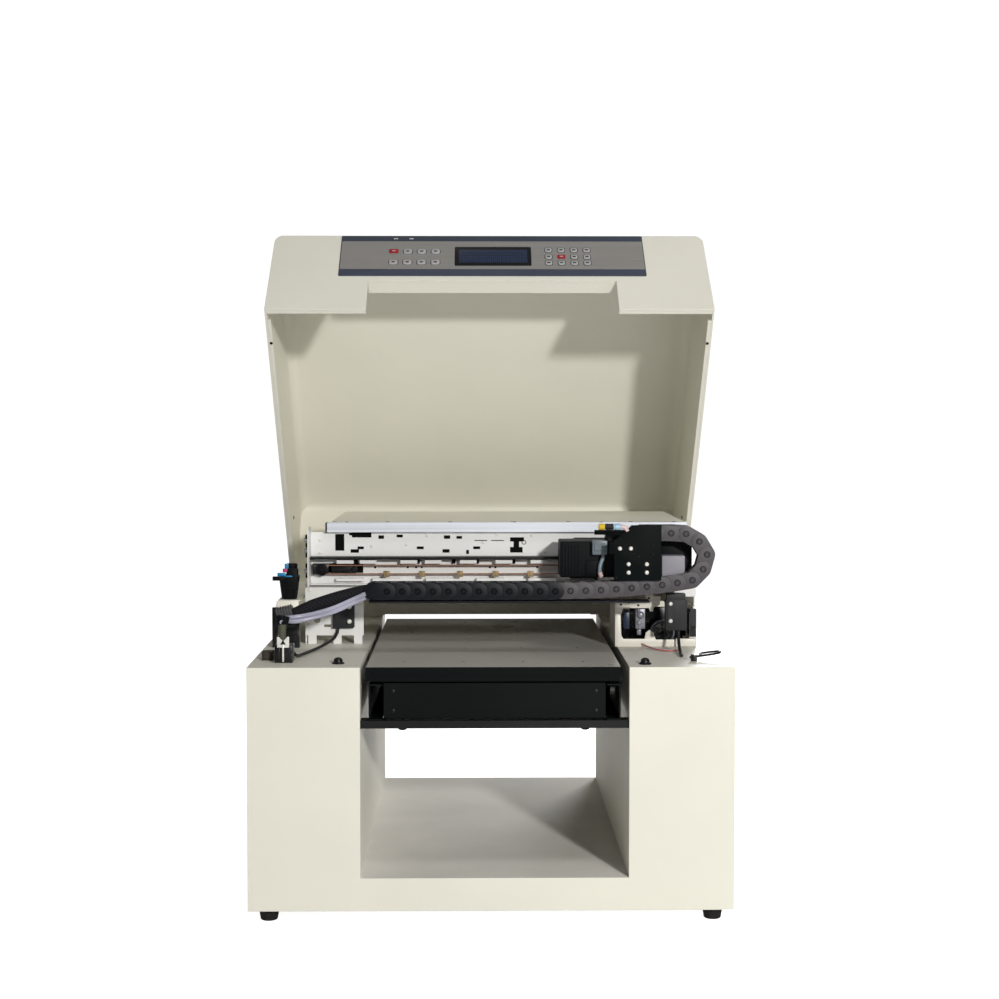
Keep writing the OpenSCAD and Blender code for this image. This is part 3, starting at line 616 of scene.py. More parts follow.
def add_bar(mesh, start, axis, radius, length, tip=None, sides=32, bevel=0.0):
    """A round bar or a cone from a start point along an axis."""
    before = set(mesh.verts)
    place = Matrix.Translation(spot(*start)) @ TURN[axis] @ Matrix.Translation((0, 0, length * MM / 2))
    made = bmesh.ops.create_cone(
        mesh, cap_ends=True, cap_tris=False, segments=sides, radius1=radius * MM,
        radius2=(radius if tip is None else tip) * MM, depth=length * MM, matrix=place)["verts"]
    if bevel:
        round_rims(mesh, made, bevel, caps_only=True)
    return made_since(mesh, before)


def add_turned(mesh, centre, axis, outline, sides=40):
    """An outline of radius and height pairs, spun round an axis through a centre."""
    before = set(mesh.verts)
    ring = [mesh.verts.new((radius * MM, 0, height * MM)) for radius, height in outline]
    edges = [mesh.edges.new(pair) for pair in zip(ring, ring[1:])]
    bmesh.ops.spin(mesh, geom=ring + edges, cent=(0, 0, 0), axis=(0, 0, 1), dvec=(0, 0, 0),
                   angle=2 * math.pi, steps=sides, use_merge=True, use_duplicate=False)
    made = made_since(mesh, before)
    bmesh.ops.remove_doubles(mesh, verts=made, dist=0.000001)
    made = made_since(mesh, before)
    bmesh.ops.transform(mesh, matrix=Matrix.Translation(spot(*centre)) @ TURN[axis], verts=made)
    return made


def add_plate(mesh, outline, low, high, axis="Y", bevel=0.0, segments=2):
    """A flat outline extruded between two depths: X-Z pairs along Y, Y-Z along X, X-Y along Z."""
    before = set(mesh.verts)
    order = {"Y": lambda a, b: (a, low, b), "X": lambda a, b: (low, a, b), "Z": lambda a, b: (a, b, low)}
    step = {"Y": (0, high - low, 0), "X": (high - low, 0, 0), "Z": (0, 0, high - low)}[axis]
    face = mesh.faces.new([mesh.verts.new(spot(*order[axis](a, b))) for a, b in outline])
    region = bmesh.ops.extrude_face_region(mesh, geom=[face])["geom"]
    moved = [item for item in region if isinstance(item, bmesh.types.BMVert)]
    bmesh.ops.translate(mesh, vec=Vector(step) * MM, verts=moved)
    bmesh.ops.recalc_face_normals(mesh, faces=mesh.faces)
    if bevel:
        round_rims(mesh, made_since(mesh, before), bevel, segments, caps_only=len(outline) > 4)
    return made_since(mesh, before)


def arc(centre_a, centre_b, radius, start, stop, steps=8):
    """Points on an arc, angles in degrees."""
    turns = [math.radians(start + (stop - start) * i / steps) for i in range(steps + 1)]
    return [(centre_a + radius * math.cos(turn), centre_b + radius * math.sin(turn)) for turn in turns]


def rounded(left, low, right, high, radius, steps=6):
    """Outline of a rectangle with round corners."""
    return (arc(right - radius, low + radius, radius, -90, 0, steps)
            + arc(right - radius, high - radius, radius, 0, 90, steps)
            + arc(left + radius, high - radius, radius, 90, 180, steps)
            + arc(left + radius, low + radius, radius, 180, 270, steps))


def smooth_route(points, steps=6):
    """Points on a smooth curve through all given ones."""
    route = []
    last = len(points) - 1
    for i in range(last):
        before, start = Vector(points[max(i - 1, 0)]), Vector(points[i])
        stop, after = Vector(points[i + 1]), Vector(points[min(i + 2, last)])
        for k in range(steps):
            t = k / steps
            route.append(0.5 * (2 * start + (stop - before) * t
                                + (2 * before - 5 * start + 4 * stop - after) * t * t
                                + (3 * start - before - 3 * stop + after) * t ** 3))
    return route + [Vector(points[last])]


def add_tube(mesh, points, diameter, sides=20, steps=6, flat=1.0):
    """A round tube along a smooth route: a ring that is extruded from point to point."""
    before = set(mesh.verts)
    route = [spot(*point) for point in smooth_route(points, steps)]
    along = [(route[min(i + 1, len(route) - 1)] - route[max(i - 1, 0)]).normalized()
             for i in range(len(route))]
    side = along[0].cross(Vector((0.31, 0.17, 0.93))).normalized()
    rings = []
    for place, ahead in zip(route, along):
        side = (side - ahead * side.dot(ahead)).normalized()
        over = ahead.cross(side)
        turn = Matrix((side, over, ahead)).transposed().to_4x4()
        made = bmesh.ops.create_circle(mesh, cap_ends=False, segments=sides, radius=diameter * MM / 2,
                                       matrix=Matrix.Translation(place) @ turn
                                       @ Matrix.Diagonal((1.0, flat, 1.0, 1.0)))["verts"]
        rings.append(list({edge for vert in made for edge in vert.link_edges}))
    for first, second in zip(rings, rings[1:]):
        bmesh.ops.bridge_loops(mesh, edges=first + second)
    for ends in (rings[0], rings[-1]):
        bmesh.ops.contextual_create(mesh, geom=ends)
    return made_since(mesh, before)


def move_made(mesh, verts, matrix):
    """Moves only the given vertices."""
    bmesh.ops.transform(mesh, matrix=matrix, verts=verts)


def make_piece(name, mesh, finish, body, stands_for=(), sharp=SHARP, opened=False):
    """Turns a mesh into a shown piece that rides a body, and hides the nodes it stands for."""
    if opened:
        lid_opened(mesh)
    bmesh.ops.recalc_face_normals(mesh, faces=mesh.faces)
    data = bpy.data.meshes.new(name)
    mesh.to_mesh(data)
    mesh.free()
    data.shade_smooth()
    data.set_sharp_from_angle(angle=sharp)
    for part in ((finish,) if isinstance(finish, str) else finish):
        data.materials.append(material(part))
    piece = bpy.data.objects.new(name, data)
    bpy.context.scene.collection.objects.link(piece)
    if stands_for:
        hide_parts(*stands_for)
    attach(piece, body)
    return piece


def screw_heads(name, finish, body, places, axis, radius, height, opened=False):
    """Low domed screw heads with a round dip in the middle, all of one size."""
    mesh = bmesh.new()
    for place in places:
        add_turned(mesh, place, axis, [(radius * k, height * h) for k, h in ((0, 0.72), (0.22, 0.72),
                (0.3, 1.0), (0.62, 0.9), (0.88, 0.55), (1.0, 0.1), (1.0, 0.0), (0, 0))], sides=20)
    return make_piece(name, mesh, finish, body, opened=opened)


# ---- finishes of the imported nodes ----

FINISHES = {
    "cream": ("front_panel", "side_panels", "bottom_plate", "rear_panel", "side_cover"),
    "deck": ("decks", "tunnel_walls", "rear_bridge", "rear_cover"),
    "tunnel": ("tunnel_floor",),
    "lid": ("lid_shell", "lid_trim"),
    "white": ("main_frame", "side_brackets"),
    "frame_cream": ("capping_frame",),
    "rail": ("top_rail",),
    "black": ("slide_rails", "bed_box", "carriage_plate"),
    "table": ("table_top",),
    "dark_steel": ("cross_rails", "guide_shelf", "print_head", "drive_motors"),
    "steel": ("hinge_blocks", "lift_screw", "bed_pulley", "drive_pulley"),
    "rubber": ("feet",),
    "plastic": ("power_inlet", "fan_frame", "fan_rotor", "waste_cup", "hose_connector", "capping_base",
                "deck_knobs", "slide_blocks", "carriage_body", "idler_pulley", "pump_wheel", "wire_loop"),
    "charcoal": ("media_sensors",),
    "chain_dark": ("chain_fixed_run",),
    "chain": ("chain_loop", "chain_upper_a", "chain_upper_b", "chain_upper_c"),
    "belt": ("timing_belt",),
    "bed_belt": ("bed_belt",),
    "sleeve": ("hose_sleeve",),
    "tube": ("ink_tubes",),
    "cable": ("sensor_cables",),
    "board": ("electronics",),
    "lamp": ("uv_lamp",),
    "yellow": ("ink_dampers",),
    "navy": ("control_panel",),
    "red": ("power_switch", "power_key", "stop_key"),
    "fitting": ("cap_slider",),
}


def dress_nodes():
    """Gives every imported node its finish."""
    for finish, names in FINISHES.items():
        for name in names:
            node = frame["nodes"][name]
            node.data.materials.clear()
            node.data.materials.append(material(finish))
            node.data.shade_smooth()
            node.data.set_sharp_from_angle(angle=SHARP)


# ---- base, bed and rear ----

def build_base():
    """Feet, knobs, a clip and the fittings at the back of the base."""
    mesh = bmesh.new()
    for x in (-296, 296):
        for y in (36, 604):
            add_turned(mesh, (x, y, 0), "Z", [(0, 0), (10.2, 0), (11.5, 1.2), (12.2, 6), (13.4, 12),
                                              (14.6, 16.5), (15, 18.6), (15, 20), (0, 20)])
    make_piece("rubber_feet", mesh, "rubber", "base", ("feet",))

    mesh = bmesh.new()
    for x, y in ((-203, 38), (204, 28)):
        add_turned(mesh, (x, y, 342), "Z", [(0, 0), (8.4, 0), (8.4, 1.1), (7.6, 1.8), (6.2, 2),
                                            (6.1, 3.8), (5.5, 5.8), (4.2, 7.4), (2.2, 8.3), (0, 8.5)],
                   sides=36)
    add_box(mesh, (268, 51.6, 342), (276, 59.6, 351), 0.8)
    make_piece("deck_knobs_and_clip", mesh, "gloss", "base", ("deck_knobs",))

    screw_heads("rear_screws", "screw", "base",
                [(x, 640, z) for x in (-308, 308) for z in (40, 190, 325)], "Y", 3.6, 1.4)
    mesh = bmesh.new()
    for dx in (-6, 0, 6):
        add_box(mesh, (-250 + dx - 1, 624, 67 if dx else 71), (-250 + dx + 1, 636, 71 if dx else 75), 0.3)
    make_piece("inlet_pins", mesh, "steel", "base")


def build_bed():
    """Bolts, rivets and marks on the bed and its rails."""
    mesh = bmesh.new()
    for x in (-117, 124):
        for y in (17, 613):
            add_turned(mesh, (x, y, 261), "Z", [
                (0, -4.4), (2.6, -4.2), (5.2, -3.2), (6.4, -1.6), (6.6, 0), (0, 0)], sides=24)
    make_piece("rail_bolts", mesh, "dark_steel", "base")
    mesh = bmesh.new()
    add_turned(mesh, (78, 10, 268), "Y", [(0, -0.5), (1.2, -0.5), (1.5, -0.1), (1.5, 0), (0, 0)], sides=16)
    for x, z in ((-129, 283), (-129, 309), (138, 283), (138, 309)):
        add_turned(mesh, (x, 12, z), "Y", [(0, -0.9), (1.4, -0.9), (2.4, -0.5), (2.6, 0), (0, 0)], sides=20)
    make_piece("bed_front_screws", mesh, "dark_steel", "bed")


# ---- drag chain ----

def link_cheek(mesh, pitch, half, front, depth):
    """One cheek of a link from pin to pin; its leading round end laps over the next cheek."""
    before = set(mesh.verts)
    outline = (arc(0, 0, half * 0.93, 90, 270, 12) + [(0, -half), (pitch, -half)]
               + arc(pitch, 0, half * 0.985, -90, 90, 16) + [(pitch, half), (0, half)])
    add_plate(mesh, outline, front + 0.9, front + depth, "Y", 0.35, 2)
    add_turned(mesh, (pitch, front + 0.9, 0), "Y", [(0, -0.5), (1.7, -0.5), (1.9, 0.2), (2.3, 0.2),
                                                    (2.5, -0.7), (3.1, -0.7), (3.3, 0.3), (0, 0.3)],
               sides=24)
    # The two rings round the pin take the link's second, darker material: painted shade in the pin's
    # grooves.
    plain = set(mesh.faces)
    add_turned(mesh, (pitch, front + 0.9, 0), "Y", [
        (1.8, 0.2), (1.8, -0.25), (2.5, -0.25), (2.5, 0.2), (1.8, 0.2)], sides=24)
    add_turned(mesh, (pitch, front + 0.9, 0), "Y", [
        (3.2, 0.2), (3.2, -0.18), (4.5, -0.18), (4.5, 0.2), (3.2, 0.2)], sides=24)
    for face in set(mesh.faces) - plain:
        face.material_index = 1
    for vert in made_since(mesh, before):
        vert.co.y -= 1.0 * MM * min(1.6, max(-0.5, vert.co.x / MM / pitch))


def add_link(mesh, pin, turn, front, back, half, pitch, cheek=3.0):
    """A whole link from its pin: two cheeks and the bars that join them."""
    before = set(mesh.verts)
    link_cheek(mesh, pitch, half, front, cheek)
    rear = set(mesh.verts)
    link_cheek(mesh, pitch, half, -back, cheek)
    mirrored = made_since(mesh, rear)
    middle = Matrix.Translation(Vector((0, FRONT_Y, 0)))
    flip = middle @ Matrix.Scale(-1, 4, (0, 1, 0)) @ middle.inverted()
    move_made(mesh, mirrored, flip)
    for side in (-1, 1):
        low, high = sorted((side * (half - 2.2), side * half))
        add_box(mesh, (3.5, front + cheek * 0.5, low), (pitch - 7.0, back - cheek * 0.5, high), 0.5, 1)
    made = made_since(mesh, before)
    origin = spot(0, 0, 0)
    place = (Matrix.Translation(spot(pin[0], 0, pin[1])) @ Matrix.Rotation(-turn, 4, "Y")
             @ Matrix.Translation(-origin))
    move_made(mesh, made, place)


def build_chain():
    """The drag chain: resting links, rolling links and the upper links that the plate hides."""
    pitch = setting("chain").pitch / MM
    half = setting("chain").height / MM / 2
    low, turn_x = 430.0, 257.0
    start = turn_x - 20 * pitch

    mesh = bmesh.new()
    for i in range(12):
        add_link(mesh, (start + i * pitch, low), 0.0, 116.0, 144.0, half, pitch)
    add_box(mesh, (start - 4, 116, 414), (219, 144, 416.5), 0.4, 1)
    add_box(mesh, (start - 4, 120.5, 416.5), (start + 12, 139.5, 420), 0.8)
    # The resting links take the shaded tone of the chain plastic: painted shade.
    make_piece("chain_resting_links", mesh, ("chain_dark", "liner"), "base", ("chain_fixed_run",))

    mesh = bmesh.new()
    pins = [(turn_x - k * pitch, low + 11.0 * (1.0 - k / 8) ** 2.2) for k in range(8, -1, -1)]
    for heading in (10, 46, 75, 121, 150, 177):
        x, z = pins[-1]
        pins.append((x + pitch * math.cos(math.radians(heading)),
                     z + pitch * math.sin(math.radians(heading))))
    upper_x, upper_z = pins[-1]
    for first, second in zip(pins, pins[1:]):
        run, rise = second[0] - first[0], second[1] - first[1]
        add_link(mesh, first, math.atan2(rise, run), 120.0, 140.0, half - 0.7, math.hypot(run, rise))
    make_piece("chain_rolling_links", mesh, ("chain", "chain_dark"), "chain_roll", ("chain_loop",))

    for name, inset, cheek in (("a", 0.6, 3.0), ("b", 7.4, 3.0), ("c", 10.8, 2.6)):
        mesh = bmesh.new()
        for i in range(2):
            add_link(mesh, (upper_x - (i + 1) * pitch, upper_z), 0.0, 116.0 + inset, 144.0 - inset,
                     half - 1.2, pitch, cheek)
        make_piece("chain_upper_links_" + name, mesh, ("chain", "chain_dark"), "chain_" + name,
                   ("chain_upper_" + name,))


# ---- control panel ----

POWER_KEY = (-141.0, 136.0)
STOP_KEY = (106.4, 122.0)


def panel_height(rise):
    """Height on the closed lid of a place on its front, from the hinge axis."""
    return HINGE_Z + rise


def add_film(mesh, left, low, right, high, front, back, radius=0.0, bevel=0.0):
    """A flat printed area on the front of the closed lid."""
    outline = rounded(left, low, right, high, radius) if radius else [
        (left, low), (right, low), (right, high), (left, high)]
    return add_plate(mesh, outline, front, back, "Y", bevel, 2)


def key_centres():
    """Places of the raised keys: left block of two rows, right block of three."""
    left = [(-141 + 20.6 * i, panel_height(rise)) for i in range(4) for rise in (136, 108)]
    right = [(87.5 + 18.9 * i, panel_height(rise)) for i in range(4) for rise in (140, 122.4, 106.6)]
    stop_x, stop_z = STOP_KEY[0], panel_height(STOP_KEY[1])
    others = [place for place in right if abs(place[0] - stop_x) > 1 or abs(place[1] - stop_z) > 1]
    return left[1:], others


def build_panel():
    """The printed film of the control panel with its bands, keys and display."""
    left, right = -220.0, 229.0
    low, high = panel_height(74), panel_height(178.3)
    band_low, band_high = panel_height(91), panel_height(163.5)
    mesh = bmesh.new()
    add_film(mesh, left, low, right, high, -1.0, 0.0, 2.0, 0.2)
    make_piece("film_bands", mesh, "navy", "lid", ("control_panel",), opened=True)
    mesh = bmesh.new()
    add_film(mesh, left + 1.2, band_low, right - 1.2, band_high, -1.25, -0.9)
    make_piece("film_middle", mesh, "film", "lid", opened=True)

    lefts, rights = key_centres()
    size = setting("panel").key / MM
    mesh = bmesh.new()
    for x, z in lefts:
        add_film(mesh, x - size / 2, z - 6.0, x + size / 2, z + 6.0, -2.0, -1.2, 3.4, 0.5)
    for x, z in rights:
        add_film(mesh, x - 5.0, z - 5.6, x + 5.0, z + 5.6, -2.0, -1.2, 3.4, 0.5)
    make_piece("raised_keys", mesh, "key", "lid", opened=True)
    mesh = bmesh.new()
    for x, z in lefts:
        add_film(mesh, x - size / 2 - 1.1, z - 6.0, x + size / 2 + 1.1, z + 6.0, -1.55, -1.2, 4.0)
    for x, z in rights:
        add_film(mesh, x - 6.0, z - 6.6, x + 6.0, z + 6.6, -1.55, -1.2, 4.2)
    make_piece("key_rings", mesh, "key_ring", "lid", opened=True)
    mesh = bmesh.new()
    for x, z in lefts + rights:
        add_film(mesh, x - 2.4, z - 1.6, x + 2.4, z + 1.6, -2.25, -2.05, 0.5)
    make_piece("key_symbols", mesh, "key_ring", "lid", opened=True)
    mesh = bmesh.new()
    for x, rise in (POWER_KEY, STOP_KEY):
        add_film(mesh, x - 2.4, panel_height(rise) - 0.7, x + 2.4, panel_height(rise) + 0.7, -2.9, -2.7)
    for x in (-139, -116):
        add_film(mesh, x - 3.2, panel_height(169.6), x + 3.2, panel_height(171.8), -1.2, -0.9)
    make_piece("key_marks", mesh, "mark", "lid", opened=True)

    for name, (x, rise), half in (("power", POWER_KEY, 6.9), ("stop", STOP_KEY, 5.7)):
        mesh = bmesh.new()
        z = panel_height(rise)
        add_film(mesh, x - half, z - 4.7, x + half, z + 4.7, -2.75, -1.66, 1.6, 0.35)
        make_piece(name + "_red_key", mesh, "red", name + "_button", (name + "_key",), opened=True)

    mesh = bmesh.new()
    add_film(mesh, -51, panel_height(99), 62, panel_height(148), -2.0, -1.0, 2.0, 0.5)
    make_piece("display_frame", mesh, "gloss", "lid", opened=True)
    mesh = bmesh.new()
    add_film(mesh, -45, panel_height(107), 56, panel_height(140), -2.25, -1.6, 1.0, 0.15)
    make_piece("display_glass", mesh, "screen", "lid", opened=True)
    mesh = bmesh.new()
    for column in range(16):
        for row in range(2):
            x = -40 + column * 5.9
            add_film(mesh, x, panel_height(126) - row * 13, x + 4.2, panel_height(133.5) - row * 13,
                     -2.32, -2.2)
    make_piece("display_cells", mesh, "cell", "lid", opened=True)

# ---- carriage ----

def build_carriage():
    """The carriage's plate, print head housing, lamp, caps and tubes."""
    mesh = bmesh.new()
    add_plate(mesh, [(162, 481), (162, 498), (168, 498), (193, 521), (234, 521), (234, 445), (169, 445),
                     (169, 481)], 112, 114.5, "Y", 0.6)
    add_plate(mesh, [(142, 508), (181, 508), (188, 514.6), (142, 514.6)], 112.2, 114.3, "Y", 0.4)
    add_box(mesh, (143, 106, 511.6), (186, 113, 514.6), 0.5, 1)
    add_box(mesh, (175, 114.5, 460), (228, 150, 463), 0.4, 1)
    add_box(mesh, (175, 114.5, 490), (228, 150, 493), 0.4, 1)
    make_piece("carriage_front_plate", mesh, "plate", "carriage", ("carriage_plate",))
    screw_heads("carriage_plate_screws", "screw_bright", "carriage", [(x, 112, z) for x, z in ((177, 489),
            (192, 489), (189, 467.5), (214, 467.5), (189, 456), (214, 456))], "Y", 3.0, -1.9)
    mesh = bmesh.new()
    for x, z in ((203, 478), (223, 493), (223, 481), (172, 449)):
        add_turned(mesh, (x, 112, z), "Y", [(0, -0.3), (0.7, -0.3), (1.1, 0.0), (0, 0.1)], sides=14)
    make_piece("carriage_plate_pins", mesh, "dark_steel", "carriage")

    mesh = bmesh.new()
    add_box(mesh, (97, 150, 446), (234, 212, 496), 2.2, 3)
    for i in range(6):
        add_box(mesh, (100 + i * 4.4, 148.8, 452), (102.4 + i * 4.4, 150.5, 490), 0.5, 1)
    add_box(mesh, (132, 148.6, 449), (160, 150.5, 470), 1.2)
    add_box(mesh, (120, 212, 472), (220, 231, 496), 1.0)
    add_box(mesh, (125, 212, 455.2), (150, 219.5, 458.4), 0.5, 1)
    add_box(mesh, (236, 154, 442), (281, 212, 505), 1.6)
    add_box(mesh, (234, 170, 470), (236, 200, 480), 0.4, 1)
    make_piece("carriage_housing", mesh, "plastic", "carriage", ("carriage_body",))

    mesh = bmesh.new()
    add_plate(mesh, [(236, 449), (258, 449)] + arc(258, 459, 10, -90, 0, 8)[1:]
              + [(268, 476)] + arc(266, 476, 2, 0, 90, 3)[1:] + [(236, 478)], 126, 154, "Y", 1.3, 3)
    make_piece("lamp_cover", mesh, "lamp", "carriage", ("uv_lamp",))

    mesh = bmesh.new()
    add_turned(mesh, (147.4, 108, 519.2), "X", [
        (0, 0), (3.4, 0), (4.2, 0.5), (4.4, 1.4), (4.4, 6.2), (3.9, 6.6), (3.9, 8.4), (0, 8.8)], sides=28)
    make_piece("yellow_cap", mesh, "yellow", "carriage", ("ink_dampers",))
    mesh = bmesh.new()
    add_turned(mesh, (167.6, 108, 519.2), "X", [
        (0, 0), (3.9, 0.2), (3.9, 2.2), (4.4, 2.6), (4.4, 9.0), (3.8, 9.9), (0, 10)], sides=28)
    make_piece("light_blue_cap", mesh, "blue", "carriage")
    mesh = bmesh.new()
    add_turned(mesh, (156.2, 108, 519.2), "X", [(0, 0), (4.0, 0), (4.0, 11.4), (0, 11.4)], sides=28)
    for i in range(3):
        add_turned(mesh, (158.2 + i * 3, 108, 519.2), "X",
                   [(4.0, 0), (4.5, 0.3), (4.5, 1.5), (4.0, 1.8)], sides=28)
    add_box(mesh, (160, 152, 496), (190, 176, 508), 1.4)
    make_piece("damper_block", mesh, "gloss", "carriage")
    mesh = bmesh.new()
    add_tube(mesh, [(177.6, 108, 519), (181, 108, 519), (184.4, 108.6, 517), (186.4, 109, 513)], 6.6)
    make_piece("pink_tube", mesh, "pink", "carriage")
    mesh = bmesh.new()
    add_box(mesh, (141, 140, 478), (162, 149.8, 498), 1.2)
    add_box(mesh, (144, 139.3, 484), (159, 140.4, 495), 0.5, 1)
    make_piece("damper_grey_box", mesh, "slate", "carriage")
    mesh = bmesh.new()
    add_tube(mesh, [(157, 145, 478.6), (156, 144, 474), (152.4, 143, 464), (151.6, 143, 456),
                    (152.6, 144, 451)], 5.2)
    make_piece("damper_hose", mesh, "lamp_tube", "carriage")
    mesh = bmesh.new()
    add_tube(mesh, [(152.0, 143.4, 454), (152.6, 144, 450.5), (154, 144.6, 447.5)], 6.2)
    make_piece("damper_hose_tip", mesh, "pink", "carriage")


# ---- print mechanism ----

def build_mechanism():
    """Small parts on the white frame: painted shade behind its cut-outs and notches, clips, screws and
    marks.
    """
    mesh = bmesh.new()
    # A black sheet behind the frame and small black blocks under its strip: painted shade seen through the
    # cut-outs and the notches.
    add_box(mesh, (-252, 237.2, 437), (240, 238.0, 503.4))
    for x in (-192, -165, -103, -52, -18, 34):
        add_box(mesh, (x - 2.6, 230.6, 458.6), (x + 2.6, 231.6, 464.6))
    make_piece("frame_liner", mesh, "liner", "base")
    mesh = bmesh.new()
    for x in (-148, -97, -43, 8, 58):
        add_box(mesh, (x - 4.5, 219.6, 440.2), (x + 4.5, 221.4, 449.0), 0.5, 1)
        add_box(mesh, (x - 1.6, 219.0, 442.2), (x + 1.6, 219.8, 447.0), 0.2, 1)
    make_piece("belt_clips", mesh, "brass", "base")
    screw_heads("frame_screws", "screw", "base", [(x, 235, z) for x, z in ((-244, 492), (-244, 474),
            (-244, 440), (-120, 486), (-90, 498), (-10, 489), (60, 499), (80, 476), (-170, 484),
            (10, 500))], "Y", 2.2, -0.9)
    mesh = bmesh.new()
    add_turned(mesh, (49, 235, 489), "Y", [(2.4, 0), (2.4, -0.35), (3.3, -0.35), (3.3, 0)], sides=28)
    for x in (-22, 2):
        add_box(mesh, (x, 234.5, 491), (x + 18, 235.2, 492.2), 0.1, 1)
    make_piece("frame_marks", mesh, "cable", "base")
    mesh = bmesh.new()
    for x in (-226, -150, -60, 30, 110, 200, 262):
        add_box(mesh, (x, 236.5, 516.4), (x + 6, 243.5, 518.4), 0.3, 1)
    for x in (-205, 36, 160):
        add_turned(mesh, (x, 233, 518), "Z", [(2.4, -0.2), (2.2, 0.4), (1.4, 0.7), (0, 0.7)], sides=18)
    make_piece("cover_clips", mesh, "dark_steel", "base")
    mesh = bmesh.new()
    add_plate(mesh, rounded(-235.4, 503.6, -231.2, 518.2, 1.8, 3), 226.4, 240.2, "Y", 0.4)
    make_piece("rail_end_cap", mesh, "gloss", "base")

    mesh = bmesh.new()
    add_turned(mesh, (-240, 219.8, 450.7), "Y", [
        (2.0, 0.2), (2.0, -0.4), (3.4, -0.4), (3.8, 0.3), (7.4, 0.3), (8.5, 0.9), (8.5, 1.7), (5.45, 1.8),
        (5.45, 8.6), (2.5, 8.8), (2.5, 14.6), (0, 14.6)], sides=40)
    make_piece("left_belt_pulley", mesh, "plastic", "idler", ("idler_pulley",))
    mesh = bmesh.new()
    add_box(mesh, (-254, 222.5, 443.5), (-230.5, 234.8, 459.2), 1.4)
    add_box(mesh, (-227, 228.0, 446), (-190, 234.6, 457), 0.8)
    make_piece("belt_tension_block", mesh, "gloss", "base")
    mesh = bmesh.new()
    add_turned(mesh, (-194, 227.5, 450.5), "Y", [(1.2, 0), (1.2, -1.2), (4.2, -1.0), (5.0, 0), (5, 3),
                                                 (0, 3)], sides=28)
    make_piece("tension_wheel", mesh, "dark_steel", "base")
    mesh = bmesh.new()
    for low, high in (((-258.4, 196, 440), (-257.9, 204, 500)), ((-258.4, 210, 436), (-257.9, 216, 470))):
        add_box(mesh, low, high)
    for z in (444, 458, 473, 487, 499):
        add_box(mesh, (-261.6, 198 + z % 7, z - 3.2), (-257.8, 210 + z % 5, z + 3.2), 0.8)
    make_piece("end_plate_fittings", mesh, "dark_steel", "base")
    mesh = bmesh.new()
    for z in (451, 480, 495):
        add_turned(mesh, (-258, 203, z), "X", [(0, -5.2), (2.6, -5.2), (3.4, -4.4), (3.4, 0), (0, 0)],
                   sides=20)
    make_piece("end_plate_studs", mesh, "steel", "base")


# ---- left deck ----

